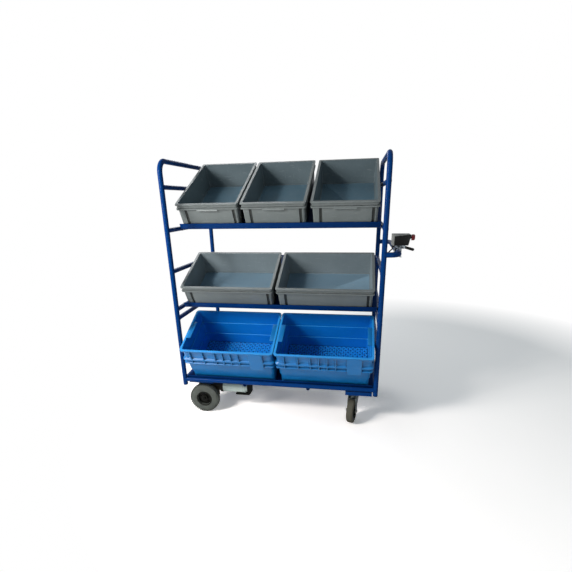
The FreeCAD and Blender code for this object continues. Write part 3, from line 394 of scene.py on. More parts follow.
def make_grain():
    """Fine surface grain and slow mottling."""
    tree, start, end = effect_group("fine_grain", ("Grain", "Mottle"), ("Height", "Mottle"))
    where = place_of(tree)
    fine = noise(tree, where, start.outputs["Grain"], detail=2.0, roughness=0.6)
    slow = noise(tree, where, start.outputs["Mottle"], detail=4.0, roughness=0.55)
    tree.links.new(fine, end.inputs["Height"])
    tree.links.new(ramp(tree, slow, *noise_middle), end.inputs["Mottle"])
    return tree


def make_edge_wear():
    """Mask along outer edges, broken up by noise."""
    tree, start, end = effect_group("edge_wear", ("Width", "Break up"), ("Mask",))
    rounded = add(tree, "ShaderNodeBevel", {"Radius": start.outputs["Width"]}, samples=6)
    flat = add(tree, "ShaderNodeNewGeometry")
    likeness = add(tree, "ShaderNodeVectorMath", {0: rounded.outputs[0], 1: flat.outputs["Normal"]},
                   operation="DOT_PRODUCT").outputs["Value"]
    edge = ramp(tree, likeness, *edge_likeness)
    breaks = noise(tree, place_of(tree), start.outputs["Break up"], detail=5.0, roughness=0.65)
    tree.links.new(sum_of(tree, "MULTIPLY", edge, ramp(tree, breaks, *edge_breaks)), end.inputs["Mask"])
    return tree


def make_dust():
    """Mask of dust on faces that look up."""
    tree, start, end = effect_group("settled_dust", ("Amount", "Patch"), ("Mask",))
    facing = add(tree, "ShaderNodeSeparateXYZ", {0: add(tree, "ShaderNodeNewGeometry").outputs["Normal"]})
    upward = ramp(tree, facing.outputs["Z"], *dust_facing)
    patches = noise(tree, place_of(tree), start.outputs["Patch"], detail=6.0, roughness=0.6)
    lying = sum_of(tree, "MULTIPLY", upward, ramp(tree, patches, *dust_patches))
    tree.links.new(sum_of(tree, "MULTIPLY", lying, start.outputs["Amount"], True), end.inputs["Mask"])
    return tree


def make_scuffs():
    """Mask of thin rubbed lines."""
    tree, start, end = effect_group("rubbed_lines", ("Scale", "Amount"), ("Mask",))
    where = place_of(tree)
    masks = []
    for turn, stretch in line_turns:
        turned = add(tree, "ShaderNodeMapping", {"Vector": where, "Rotation": (turn, turn, turn), "Scale": stretch})
        lines = noise(tree, turned.outputs[0], start.outputs["Scale"], detail=2.0, roughness=0.4)
        masks.append(ramp(tree, lines, *line_range))
    rubbed = sum_of(tree, "MAXIMUM", sum_of(tree, "MAXIMUM", masks[0], masks[1]), masks[2])
    tree.links.new(sum_of(tree, "MULTIPLY", rubbed, start.outputs["Amount"], True), end.inputs["Mask"])
    return tree


def make_recess_shade():
    """Mask of painted shade in corners, grooves and pockets: ambient occlusion, broken up by noise patches."""
    tree, start, end = effect_group("corner_recess_shade", ("Reach", "Amount"), ("Mask",))
    open_share = add(tree, "ShaderNodeAmbientOcclusion", {"Distance": start.outputs["Reach"]}, samples=6).outputs["AO"]
    patches = noise(tree, place_of(tree), recess_shade_scale, detail=4.0, roughness=0.6)
    corner = sum_of(tree, "MULTIPLY", ramp(tree, open_share, *recess_shade_openness), ramp(tree, patches, *recess_shade_patches))
    tree.links.new(sum_of(tree, "MULTIPLY", corner, start.outputs["Amount"], True), end.inputs["Mask"])
    return tree


effects = {"grain": make_grain(), "wear": make_edge_wear(), "dust": make_dust(), "scuffs": make_scuffs(),
           "recess_shade": make_recess_shade()}


def effect(tree, name, **values):
    """Place a shared effect in a material."""
    made = add(tree, "ShaderNodeGroup", node_tree=effects[name])
    for key, value in values.items():
        made.inputs[key.replace("_", " ").capitalize()].default_value = value
    return made.outputs


def shade(colour, factor):
    """A colour made lighter or darker."""
    return tuple(min(c * factor, 1.0) for c in colour[:3]) + (1.0,)


def finish_of(name):
    """Start a finish: a new material's tree and its Principled shader."""
    material = finishes[name] = bpy.data.materials.new(name)
    material.use_nodes = True
    return material.node_tree, material.node_tree.nodes["Principled BSDF"]


def wire(tree, shader, colour, roughness, height, bump, bump_distance):
    """Join a finish's colour, roughness and bump to its shader."""
    tree.links.new(colour, shader.inputs["Base Color"])
    tree.links.new(roughness, shader.inputs["Roughness"])
    bent = add(tree, "ShaderNodeBump", {"Height": height, "Strength": bump, "Distance": bump_distance})
    tree.links.new(bent.outputs[0], shader.inputs["Normal"])


dust_colour = (0.36, 0.35, 0.33, 1.0)
paint_look = {"grain": 520.0, "mottle": 5.0, "tones": (0.9, 1.1), "edge": 0.0016, "break_up": 90.0, "lines": 20.0,
              "line_share": 0.35, "patch": 7.0, "reach": 0.010, "recess_shade_tone": 0.2, "rough": (-0.05, 0.07),
              "bump": (0.10, 0.0004)}
plastic_look = {"grain": 1100.0, "mottle": 6.0, "tones": (0.93, 1.07), "edge": 0.0014, "break_up": 70.0, "lines": 16.0,
                "line_share": 0.4, "patch": 11.0, "reach": 0.012, "recess_shade_tone": 0.12, "rough": (-0.06, 0.06),
                "bump": (0.16, 0.0002)}
rubber_look = {"grain": 420.0, "mottle": 24.0, "tones": (0.82, 1.15), "edge": 0.003, "break_up": 40.0, "lines": 30.0,
               "line_share": 1.0, "rough": (-0.1, 0.1), "bump": (0.3, 0.0005)}
plated_look = {"drawn": 300.0, "stains": 26.0, "stain_range": (0.55, 0.8), "rough": (-0.07, 0.1),
               "bump": (0.08, 0.0003)}


def coated(name, colour, roughness, worn, look, wear, dust, scuff, recess_shade, gloss):
    """Paint, plastic or rubber: fine grain, worn edges, rubbed lines, a little dust, and painted shade in its corners.
    """
    tree, shader = finish_of(name)
    grain = effect(tree, "grain", grain=look["grain"], mottle=look["mottle"])
    edge = effect(tree, "wear", width=look["edge"], break_up=look["break_up"])["Mask"]
    lines = effect(tree, "scuffs", scale=look["lines"], amount=scuff)["Mask"]
    base = mixed(tree, grain["Mottle"], *[shade(colour, tone) for tone in look["tones"]])
    rubbed = mixed(tree, sum_of(tree, "MULTIPLY", edge, wear), base, worn)
    shown = mixed(tree, sum_of(tree, "MULTIPLY", lines, look["line_share"]), rubbed, worn)
    if dust:
        shown = mixed(tree, effect(tree, "dust", amount=dust, patch=look["patch"])["Mask"], shown, dust_colour)
    # Painted shade: corners, grooves and pockets are darkened towards a dark copy of the colour
    if recess_shade:
        recess_shade_mask = effect(tree, "recess_shade", reach=look["reach"], amount=recess_shade)["Mask"]
        shown = mixed(tree, recess_shade_mask, shown, shade(colour, look["recess_shade_tone"]))
    rough = ramp(tree, grain["Mottle"], 0.0, 1.0, *[roughness + shift for shift in look["rough"]])
    wire(tree, shader, shown, rough, grain["Height"], *look["bump"])
    shader.inputs["Specular IOR Level"].default_value = gloss


def powder_coat(name, colour, roughness, worn):
    """Sprayed and baked paint with faint orange peel."""
    coated(name, colour, roughness, worn, paint_look, wear=0.5, dust=0.02, scuff=0.22, recess_shade=0.5, gloss=0.06)


def moulded(name, colour, roughness, worn, wear=0.35, dust=0.10, scuff=0.3, recess_shade=0.6, gloss=0.5):
    """Moulded plastic."""
    coated(name, colour, roughness, worn, plastic_look, wear, dust, scuff, recess_shade, gloss)


def rubber(name, colour, dusty_colour):
    """Tyre rubber: matt, mottled, with road dust on its edges and in thin lines."""
    coated(name, colour, roughness=0.82, worn=dusty_colour, look=rubber_look, wear=0.5, dust=0, scuff=0.3, recess_shade=0,
           gloss=0.2)


def plated(name, colour, roughness, stain, stretch=(1.0, 1.0, 1.0), spangle=130.0, tones=(0.86, 1.08)):
    """Plated or bare metal: spangled tone, fine drawn lines."""
    tree, shader = finish_of(name)
    where = place_of(tree)
    cells = add(tree, "ShaderNodeTexVoronoi", {"Vector": where, "Scale": spangle}).outputs["Color"]
    tone = add(tree, "ShaderNodeSeparateColor", {0: cells}).outputs[0]
    lines = add(tree, "ShaderNodeMapping", {"Vector": where, "Scale": stretch}).outputs[0]
    look = plated_look
    drawn = noise(tree, lines, look["drawn"], detail=3.0, roughness=0.6)
    stains = noise(tree, where, look["stains"], detail=5.0, roughness=0.6)
    base = mixed(tree, tone, *[shade(colour, share) for share in tones])
    stained = mixed(tree, ramp(tree, stains, *look["stain_range"]), base, stain)
    rough = ramp(tree, drawn, *noise_middle, *[roughness + shift for shift in look["rough"]])
    shader.inputs["Metallic"].default_value = 1.0
    wire(tree, shader, stained, rough, drawn, *look["bump"])


blue_worn = (0.006, 0.075, 0.28, 1.0)
pale_worn = (0.46, 0.48, 0.48, 1.0)

# Finishes of the record's slots
powder_coat("frame_paint", (0.0006, 0.034, 0.160), 0.26, blue_worn)
powder_coat("tray_paint", (0.0006, 0.025, 0.122), 0.34, blue_worn)
# The grey plastic's raised edge wear is partly real wear and partly a painted highlight along the bins' edges and rims
moulded("grey_plastic", (0.148, 0.171, 0.170), 0.44, pale_worn, wear=0.6, recess_shade=0.85)
moulded("blue_plastic", (0.002, 0.160, 0.45), 0.38, (0.08, 0.44, 0.86, 1.0), wear=0.9, dust=0.02, recess_shade=0.9)
rubber("drive_rubber", (0.080, 0.089, 0.080), (0.15, 0.16, 0.15, 1.0))
rubber("castor_rubber", (0.085, 0.080, 0.062), (0.15, 0.14, 0.115, 1.0))
moulded("black_plastic", (0.006, 0.007, 0.005), 0.42, (0.03, 0.03, 0.03, 1.0), dust=0.02, gloss=0.15)
moulded("head_plastic", (0.006, 0.006, 0.006), 0.40, (0.04, 0.04, 0.04, 1.0), dust=0.02, gloss=0.22)
moulded("cover_plastic", (0.23, 0.235, 0.225), 0.44, (0.55, 0.55, 0.54, 1.0))
moulded("red_plastic", (0.30, 0.010, 0.016), 0.26, (0.55, 0.06, 0.06, 1.0), dust=0.05)
rubber("cable_rubber", (0.012, 0.012, 0.012), (0.05, 0.05, 0.05, 1.0))
plated("bracket_chrome", (0.46, 0.50, 0.55), 0.20, (0.05, 0.06, 0.08, 1.0), spangle=105.0, tones=(0.15, 1.6))
# Painted shade: the zinc's base is darkened for the shade the castor forks sit in, and its bright spangle cells also
# paint small glints
plated("zinc_steel", (0.16, 0.18, 0.18), 0.36, (0.05, 0.06, 0.06, 1.0), spangle=110.0, tones=(0.6, 1.45))
powder_coat("gearbox_paint", (0.030, 0.028, 0.023), 0.52, (0.12, 0.11, 0.10, 1.0))
powder_coat("motor_paint", (0.58, 0.68, 0.64), 0.36, (0.5, 0.52, 0.5, 1.0))
powder_coat("black_paint", (0.006, 0.007, 0.006), 0.44, (0.05, 0.05, 0.05, 1.0))
moulded("battery_plastic", (0.022, 0.022, 0.024), 0.45, (0.09, 0.09, 0.09, 1.0))
plated("controller_metal", (0.46, 0.47, 0.48), 0.42, (0.30, 0.30, 0.30, 1.0), stretch=(1, 14, 1))
plated("bolt_steel", (0.54, 0.54, 0.53), 0.34, (0.36, 0.34, 0.28, 1.0))

# Finishes of the containers' inner sides, edges and grooves, several with painted light and shade
# Painted highlight: the lattice bars are a paler blue than the crate floor beneath them
moulded("lattice_painted_highlight", (0.003, 0.260, 0.74), 0.32, (0.10, 0.48, 0.90, 1.0), wear=0.8, dust=0.02, recess_shade=0.3)
moulded("crate_inside_plastic", (0.001, 0.165, 0.57), 0.36, (0.08, 0.44, 0.90, 1.0), wear=0.9, dust=0.02, recess_shade=0.8)
# Painted highlight: a paler blue on the crates' rim top and inner step ledges, which face up
moulded("crate_rim_ledge_highlight", (0.020, 0.29, 0.74), 0.34, (0.10, 0.48, 0.92, 1.0), dust=0.02)
moulded("crate_floor_plastic", (0.001, 0.130, 0.48), 0.40, (0.05, 0.30, 0.70, 1.0), dust=0.02, recess_shade=0.3)
# Painted shade: a near-black grey on the faces of the bins' corner grooves
moulded("bin_groove_painted_shade", (0.040, 0.046, 0.043), 0.46, pale_worn, gloss=0.3)
# Painted light and shade: the bins' insides are darker and bluer than the outside grey, their floors bluer still as
# painted sky light, and the middle tier's are paler than the top tier's as painted light
for tier, inside, floor in (("bin_top", (0.112, 0.148, 0.164), (0.100, 0.190, 0.255)),
                            ("bin_middle", (0.185, 0.225, 0.244), (0.180, 0.293, 0.383))):
    moulded(tier + "_inside_plastic", inside, 0.42, pale_worn, scuff=0.4)
    moulded(tier + "_floor_plastic", floor, 0.40, pale_worn, scuff=0.5)

# Each CAD node takes the finish of its slot
for row in frame["record"]["subparts"]:
    shown = nodes[row["node"]].data
    shown.materials.clear()
    shown.materials.append(finishes[row["material_slot"]])


# Geometry trees for what repeats


def geometry_tree(name, inputs):
    """An empty geometry tree with named inputs, and its two end nodes."""
    tree = bpy.data.node_groups.new(name, "GeometryNodeTree")
    tree.interface.new_socket("Geometry", in_out="INPUT", socket_type="NodeSocketGeometry")
    for label, kind in inputs.items():
        tree.interface.new_socket(label, in_out="INPUT", socket_type="NodeSocket" + kind)
    tree.interface.new_socket("Geometry", in_out="OUTPUT", socket_type="NodeSocketGeometry")
    return tree, tree.nodes.new("NodeGroupInput"), tree.nodes.new("NodeGroupOutput")


def close_tree(tree, start, end, geometry):
    """Realize the instances, set the material and close the tree."""
    real = add(tree, "GeometryNodeRealizeInstances", {"Geometry": geometry}).outputs[0]
    done = add(tree, "GeometryNodeSetMaterial", {"Geometry": real, "Material": start.outputs["Material"]})
    tree.links.new(done.outputs[0], end.inputs["Geometry"])


def named(tree, name):
    """A vector stored on the points."""
    return add(tree, "GeometryNodeInputNamedAttribute", {"Name": name}, data_type="FLOAT_VECTOR").outputs[0]


def make_block_tree():
    """Blocks on points: each point says which way its block faces, which way is up, and how large it is."""
    tree, start, end = geometry_tree("blocks_on_points", {"Material": "Material"})
    cube = add(tree, "GeometryNodeMeshCube").outputs["Mesh"]
    turn = add(tree, "FunctionNodeAxesToRotation", {"Primary Axis": named(tree, "facing"),
                                                    "Secondary Axis": named(tree, "upright")},
               primary_axis="Y", secondary_axis="Z").outputs[0]
    copies = add(tree, "GeometryNodeInstanceOnPoints", {"Points": start.outputs["Geometry"], "Instance": cube,
                                                        "Rotation": turn, "Scale": named(tree, "extent")})
    close_tree(tree, start, end, copies.outputs[0])
    return tree


def make_weld_tree():
    """Weld beads along closed lines, with an uneven thickness."""
    tree, start, end = geometry_tree("weld_beads", {"Bead": "Float", "Ripple": "Float", "Material": "Material"})
    line = add(tree, "GeometryNodeMeshToCurve", {"Mesh": start.outputs["Geometry"]}).outputs[0]
    where = add(tree, "GeometryNodeInputPosition").outputs[0]
    swell = ramp(tree, noise(tree, where, start.outputs["Ripple"], detail=2.0), *noise_middle, *weld_swell)
    profile = add(tree, "GeometryNodeCurvePrimitiveCircle", {"Resolution": weld_sides, "Radius": start.outputs["Bead"]})
    swept = add(tree, "GeometryNodeCurveToMesh", {"Curve": line, "Profile Curve": profile.outputs[0], "Scale": swell})
    close_tree(tree, start, end, swept.outputs[0])
    return tree


block_tree = make_block_tree()
weld_tree = make_weld_tree()


def grown(name, tree, base, values, matrix=None):
    """Run a geometry tree on a base mesh and keep the result as a plain mesh."""
    obj = bpy.data.objects.new(name, base)
    scene.collection.objects.link(obj)
    modifier = obj.modifiers.new("grown", "NODES")
    modifier.node_group = tree
    for item in tree.interface.items_tree:
        if item.item_type == "SOCKET" and item.in_out == "INPUT" and item.name in values:
            modifier[item.identifier] = values[item.name]
    mesh = plain_mesh(obj)
    if matrix is not None:
        mesh.transform(matrix)
    return obj


def point_mesh(name, rows):
    """Points with the facing, upright and extent that blocks on points need."""
    mesh = bpy.data.meshes.new(name)
    mesh.from_pydata([row[0] for row in rows], [], [])
    for index, label in enumerate(("facing", "upright", "extent"), start=1):
        layer = mesh.attributes.new(label, "FLOAT_VECTOR", "POINT")
        layer.data.foreach_set("vector", [c for row in rows for c in row[index]])
    return mesh


def blocks(name, rows, surface, matrix=None):
    """A piece made of many small blocks."""
    return grown(name, block_tree, point_mesh(name, rows), {"Material": finishes[surface]}, matrix)


# Containers


def ring(width, depth, radius, stops, dent):
    """Points round a rounded rectangle: stops are places along a wall, each with its share of the dent."""
    points = []
    for turn in range(4):
        run, other = (width, depth) if turn % 2 == 0 else (depth, width)
        wall = [(place, share * dent - other / 2) for place, share in stops[turn % 2]]
        for i in range(corner_steps + 1):
            angle = math.pi / 2 * (i / corner_steps - 1)
            wall.append((run / 2 - radius + radius * math.cos(angle), radius - other / 2 + radius * math.sin(angle)))
        for x, y in wall:
            for _ in range(turn):
                x, y = -y, x
            points.append((x, y))
    return points


def loft(bm, size, rows, stops, inside, edges=()):
    """Skin over rings: each row is inset, height, dent and corner radius.

    The inside starts at a row of its own. Grooves and the rows named as edges take the fourth finish, which paints
    shade into the bins' grooves and a highlight onto the crates' rim top and ledges.
    """
    rings = []
    for inset, height, dent, radius in rows:
        loop = ring(size[0] - 2 * inset, size[1] - 2 * inset, radius, stops, dent)
        rings.append([bm.verts.new((x, y, height)) for x, y in loop])
    dented = [share for turn in range(4) for share in [s for _, s in stops[turn % 2]] + [0] * (corner_steps + 1)]
    for row, (low, high) in enumerate(zip(rings, rings[1:])):
        for i in range(len(low)):
            j = (i + 1) % len(low)
            face = bm.faces.new((low[i], low[j], high[j], high[i]))
            groove = rows[row][2] and dented[i] and dented[j]
            face.material_index = 3 if groove or row in edges else int(row >= inside)
    bm.faces.new(list(reversed(rings[0])))
    bm.faces.new(rings[-1]).material_index = 2


def container_matrix(node_name):
    """Place of a container's floor middle on its tray, and its size along the tray's axes."""
    low, high = tray_box(node_name)
    size = high - low
    foot = Vector(((low.x + high.x) / 2, (low.y + high.y) / 2, low.z))
    return tray_axes @ Matrix.Translation(foot), size


def four_walls(size):
    """Turn, half depth and run of the four walls of a container, the front wall first."""
    return [(turn, size[(turn + 1) % 2] / 2, size[turn % 2]) for turn in range(4)]


def wall_block(turn, half, place, width, inner, outer, low, high):
    """Row for a block on a wall: inner and outer are insets from the wall's outermost face."""
    rotation = Matrix.Rotation(turn * math.pi / 2, 3, "Z")
    outward, along = rotation @ -rearward, rotation @ across
    middle = outward * (half - (inner + outer) / 2) + along * place + up * ((low + high) / 2)
    return (middle, outward, up, (width, inner - outer, high - low))


def groove_stops(run):
    """Stops along a wall for the grooves near its two corners."""
    half = bin_groove_width / 2
    edges = ((-half - bin_groove_slope, 0), (-half, 1), (half, 1), (half + bin_groove_slope, 0))
    middles = (bin_groove_places[0] - run / 2, run / 2 - bin_groove_places[1])
    return [(middle + offset, share) for middle in middles for offset, share in edges]


def grey_bin(node_name):
    """Stacking bin: grooved wall, hollow stepped rim, ribs under the rim and a grip at each short end."""
    matrix, size = container_matrix(node_name)
    height = size.z
    flange_low = height - bin_flange
    ledge_top = flange_low - bin_band
    ledge_low = ledge_top - bin_ledge
    lean = (bin_base_inset - bin_top_inset) / height

    def outer(z):
        """Inset of the wall's outer face."""
        return bin_base_inset - lean * z

    def inner(z):
        """Inset of the wall's inner face."""
        return outer(z) + bin_ribbed_wall

    small = bin_corner - bin_wall
    groove_top = ledge_low - bin_groove_top_gap
    groove_end = groove_top + bin_groove_slope
    inside_foot = bin_floor + bin_floor_round
    dent = bin_groove_depth
    hollow = bin_band_inset + bin_wall / 2
    foot_share = bin_foot_round * round_share
    floor_share = bin_floor_round * round_share
    rows = [(bin_base_inset + bin_foot_inset, bin_foot_recess, dent, small),
            (bin_base_inset + bin_foot_inset, 0, dent, small),
            (bin_base_inset + bin_foot_round, 0, dent, small),
            (bin_base_inset + foot_share, foot_share, dent, bin_corner),
            (outer(bin_foot_round), bin_foot_round, dent, bin_corner),
            (outer(groove_top), groove_top, dent, bin_corner)]
    outside = [(outer(groove_end), groove_end), (outer(ledge_top), ledge_top), (hollow, ledge_top), (hollow, ledge_low),
               (bin_ledge_inset, ledge_low), (bin_ledge_inset, ledge_top), (bin_band_inset, ledge_top),
               (bin_band_inset, flange_low), (0, flange_low), (0, height)]
    inside = [(inner(height), height), (inner(inside_foot), inside_foot),
              (inner(inside_foot) + floor_share, bin_floor + floor_share),
              (inner(inside_foot) + bin_floor_round, bin_floor)]
    rows += [(*place, 0, bin_corner) for place in outside] + [(*place, 0, small) for place in inside]
    bm = bmesh.new()
    loft(bm, (size.x, size.y), rows, [groove_stops(size.x), groove_stops(size.y)], len(rows) - len(inside))
    for turn, half, run in four_walls(size):
        if run > min(size.x, size.y):
            continue
        wall = half - outer(ledge_low) - bin_wall / 2
        face = half - bin_ledge_inset
        foot = ledge_low - bin_grip_drop
        outline = [(-face, ledge_low), (-face - bin_grip_lip, foot + bin_wall), (-face - bin_grip_lip, foot),
                   (-wall, foot), (-wall, ledge_low)]
        grip = wedge(bm, outline, -bin_grip_width / 2, bin_grip_width / 2, 0)
        bmesh.ops.rotate(bm, verts=grip, cent=(0, 0, 0), matrix=Matrix.Rotation(turn * math.pi / 2, 3, "Z"))
    tier = node_name.rsplit("_", 1)[0]
    # The groove finish is painted shade; the inside and floor finishes carry painted light and shade
    surfaces = ("grey_plastic", tier + "_inside_plastic", tier + "_floor_plastic", "bin_groove_painted_shade")
    obj = piece(node_name + "_shell", bm, surfaces, bin_edge, 2, matrix)
    stand_for(obj, node_name, "grey_plastic", node_name)
    ribs = []
    for turn, half, run in four_walls(size):
        count = int((run - 2 * bin_base_inset) / bin_rib_pitch)
        for i in range(count):
            place = (i - (count - 1) / 2) * bin_rib_pitch
            ribs.append(wall_block(turn, half, place, bin_wall * bin_rib_share, outer(ledge_low) + bin_wall / 3,
                                   hollow - bin_wall / 3, ledge_low + bin_wall / 2, ledge_top + bin_wall / 2))
    webs = blocks(node_name + "_rim_ribs", ribs, "grey_plastic", matrix)
    stand_for(webs, node_name, "grey_plastic")


def blue_crate(node_name):
    """Tapered crate: stepped walls, a collar of pockets in two rows, bare plates, grips and a lattice floor."""
    matrix, size = container_matrix(node_name)
    height = size.z
    collar_low = height - crate_collar
    lower = (collar_low + crate_collar_foot, collar_low + crate_collar_foot + crate_lower_row)
    upper = (lower[1] + crate_ledge, height - crate_rim)
    steps = [share * height for share in crate_step_shares]
    lean = (crate_base_inset - crate_top_inset - len(steps) * crate_step) / height

    def outer(z, side):
        """Inset of the wall's outer face: a step counts once it is passed by more than side."""
        return crate_base_inset - lean * z - crate_step * sum(z > step + side for step in steps)

    def inner(z, side):
        """Inset of the wall's inner face."""
        return outer(z, side) + crate_wall

    small = crate_corner - crate_wall
    tiny = 1e-5
    under = [(crate_base_inset + inset, rise) for inset, rise in crate_foot]
    step_foot = steps[0] - crate_step_run
    outside = [under.pop(), (outer(crate_foot_round, 0), crate_foot_round), (outer(step_foot, 0), step_foot),
               (outer(steps[0] + tiny, 0), steps[0]), (outer(collar_low, 0), collar_low), (0, collar_low),
               (0, lower[0]), (crate_pocket, lower[0] + crate_lower_slope), (crate_pocket, lower[1]), (0, lower[1]),
               (0, upper[0]), (crate_pocket, upper[0] + crate_upper_slope), (crate_pocket, upper[1]), (0, upper[1]),
               (0, height)]
    inside = [(inner(height, 0), height)]
    for step in reversed(steps):
        inside += [(inner(step + tiny, 0), step), (inner(step, tiny), step - tiny)]
    floor_edge = inner(crate_floor, 0)
    floor_end = crate_floor + crate_floor_round
    floor_share = crate_floor_round * round_share
    inside += [(inner(floor_end, 0), floor_end), (floor_edge + floor_share, crate_floor + floor_share),
               (floor_edge + crate_floor_round, crate_floor)]
    rows = [(*place, 0, radius) for places, radius in ((under, small), (outside, crate_corner), (inside, small))
            for place in places]
    bm = bmesh.new()
    first = len(rows) - len(inside)
    # The rim top and the inner step ledges take the paler fourth finish, a painted highlight
    ledges = [row for row in range(first, len(rows) - 1) if 0 < rows[row][1] - rows[row + 1][1] < 2 * tiny]
    loft(bm, (size.x, size.y), rows, [[], []], first, [first - 1] + ledges)
    far = size.x / 2 - crate_pocket
    near = far - crate_grip_reach
    reach = crate_grip_length / 2
    for left, right in ((near, far), (-far, -near)):
        block(bm, Vector((left, -reach, height - crate_grip_thickness)), Vector((right, reach, height)))
    surfaces = ("blue_plastic", "crate_inside_plastic", "crate_floor_plastic", "crate_rim_ledge_highlight")
    obj = piece(node_name + "_shell", bm, surfaces, crate_edge, 2, matrix)
    stand_for(obj, node_name, "blue_plastic", node_name)
    ribs = []
    for turn, half, run in four_walls(size):
        shares = crate_front_rib_shares if turn % 2 == 0 else crate_side_rib_shares
        for share in shares:
            for low, high in (lower, upper):
                ribs.append(wall_block(turn, half, (share - 0.5) * run, crate_rib, crate_pocket + crate_rib_overlap,
                                       crate_rib_inset, low - crate_rib_overlap, high + crate_rib_overlap))
        if turn % 2 == 0:
            middle = (sum(crate_plate_shares) / 2 - 0.5) * run
            wide = (crate_plate_shares[1] - crate_plate_shares[0]) * run
            ribs.append(wall_block(turn, half, middle, wide, crate_pocket + 2 * crate_rib_overlap, -crate_plate_proud,
                                   collar_low - crate_plate_drop, upper[1] + crate_plate_rise))
    webs = blocks(node_name + "_collar_ribs", ribs, "blue_plastic", matrix)
    stand_for(webs, node_name, "blue_plastic")
    inset = floor_edge + crate_lattice_inset
    wide, deep = size.x - 2 * inset, size.y - 2 * inset
    columns, lines = round(wide / crate_lattice_pitch), round(deep / crate_lattice_pitch)
    cell = Vector((wide / columns, deep / lines, 0))
    extent = (cell.length, crate_lattice_bar, crate_lattice_height)
    middles = [((i + 0.5) * cell.x - wide / 2, (j + 0.5) * cell.y - deep / 2, crate_floor + crate_lattice_height / 2)
               for i in range(columns) for j in range(lines)]
    bars = [(middle, (-sign * cell.y, cell.x, 0), up, extent) for sign in (-1, 1) for middle in middles]
    lattice = blocks(node_name + "_floor_lattice", bars, "lattice_painted_highlight", matrix)
    stand_for(lattice, node_name, "blue_plastic")


for name in ("bin_top_left", "bin_top_middle", "bin_top_right", "bin_middle_left", "bin_middle_right"):
    grey_bin(name)
for name in ("crate_left", "crate_right"):
    blue_crate(name)


# Trays


def folded_tray(node_name):
    """Folded sheet: floor, front lip, side flanges and rear flange with round bends, cut open at the corners."""
    low, high = tray_box(node_name)
    half = (high.x - low.x) / 2
    middle = (high.x + low.x) / 2
    depth = high.y - low.y
    mid = tray_sheet / 2
    level = high.z - tray_lip
    edge = mid + tray_bend
    xs = (edge - half, half - edge)
    ts = (edge, tray_flange_start, depth - edge)
    bm = bmesh.new()
    grid = [[bm.verts.new((x, t, mid)) for x in xs] for t in ts]
    for front, rear in zip(grid, grid[1:]):
        bm.faces.new((front[0], front[1], rear[1], rear[0]))

    def flange(first, outward, upward, reach):
        """Bend a strip from two floor points, up or down, and run it to its free edge."""
        strip = list(first)
        places = []
        for i in range(1, tray_bend_steps + 1):
            angle = math.pi / 2 * i / tray_bend_steps
            places.append((tray_bend * math.sin(angle), tray_bend * (1 - math.cos(angle))))
        places.append((tray_bend, reach - mid))
        for out, rise in places:
            step = Vector(outward) * out + Vector((0, 0, rise * upward))
            new = [bm.verts.new(v.co + step) for v in first]
            bm.faces.new((strip[0], strip[1], new[1], new[0]))
            strip = new

    flange(grid[0], (0, -1, 0), 1, tray_lip)
    flange(list(reversed(grid[2])), (0, 1, 0), -1, tray_rear_flange + tray_sheet)
    flange([grid[2][0], grid[1][0]], (-1, 0, 0), -1, tray_side_flange + tray_sheet)
    flange([grid[1][1], grid[2][1]], (1, 0, 0), -1, tray_side_flange + tray_sheet)
    bmesh.ops.recalc_face_normals(bm, faces=bm.faces)
    place = tray_axes @ Matrix.Translation((middle, low.y, level))
    obj = piece(node_name + "_sheet", bm, ["tray_paint"], tray_sheet / 4, 2, place, tray_sharp_angle, tray_sheet)
    stand_for(obj, "frame", "tray_paint", node_name)


for name in ("tray_lower", "tray_middle", "tray_upper"):
    folded_tray(name)


# Welds at the frame's tube joints


def saddle(centre, axis, radius, side):
    """Closed line where a tube's end meets the side of a post."""
    beside = axis.cross(up)
    points = []
    for i in range(weld_points):
        angle = 2 * math.pi * i / weld_points
        off = radius * math.cos(angle)
        reach = math.sqrt(max(post_radius ** 2 - off ** 2, 0.0))
        points.append(centre + axis * (side * reach) + beside * off + up * (radius * math.sin(angle)))
    return points


def frame_welds():
    """Beads round every tube end of the frame."""
    low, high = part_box("end_hoop_left")
    front, rear = low.y + post_radius, high.y - post_radius
    left = (low.x + high.x) / 2
    low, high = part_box("end_hoop_right")
    right = (low.x + high.x) / 2
    loops = []
    for x in (left, right):
        for height in rung_heights + (base_rail_height,):
            for y, side in ((front, 1), (rear, -1)):
                loops.append(saddle(Vector((x, y, height)), rearward, rung_radius, side))
    for y in (front, rear):
        for x, side in ((left, 1), (right, -1)):
            loops.append(saddle(Vector((x, y, base_rail_height)), across, rung_radius, side))
    low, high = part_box("push_handle")
    handle_height = (low.z + high.z) / 2
    for y in (front, rear):
        loops.append(saddle(Vector((right, y, handle_height)), across, post_radius - handle_weld_inset, 1))
    mesh = bpy.data.meshes.new("weld_lines")
    places = [point for loop in loops for point in loop]
    edges = []
    for index in range(len(loops)):
        first = index * weld_points
        edges += [(first + i, first + (i + 1) % weld_points) for i in range(weld_points)]
    mesh.from_pydata(places, edges, [])
    values = {"Bead": weld_bead, "Ripple": weld_ripple, "Material": finishes["frame_paint"]}
    obj = grown("frame_welds", weld_tree, mesh, values)
    smooth(obj.data, angle=60)
    stand_for(obj, "frame", "frame_paint")


frame_welds()


# Wheels


def revolved(name, profile, centre, axis, surface, segments=wheel_segments):
    """Solid of revolution from closed (radius, distance along the axis) points."""
    bm = bmesh.new()
    turn = up.rotation_difference(axis).to_matrix()
    rings = []
    for i in range(segments):
        angle = 2 * math.pi * i / segments
        rings.append([bm.verts.new(Vector((r * math.cos(angle), r * math.sin(angle), z))) for r, z in profile])
    count = len(profile)
    for i in range(segments):
        near, far = rings[i], rings[(i + 1) % segments]
        for k in range(count):
            m = (k + 1) % count
            bm.faces.new((near[k], near[m], far[m], far[k]))
    bmesh.ops.recalc_face_normals(bm, faces=bm.faces)
    return piece(name, bm, [surface], matrix=Matrix.Translation(centre) @ turn.to_4x4())


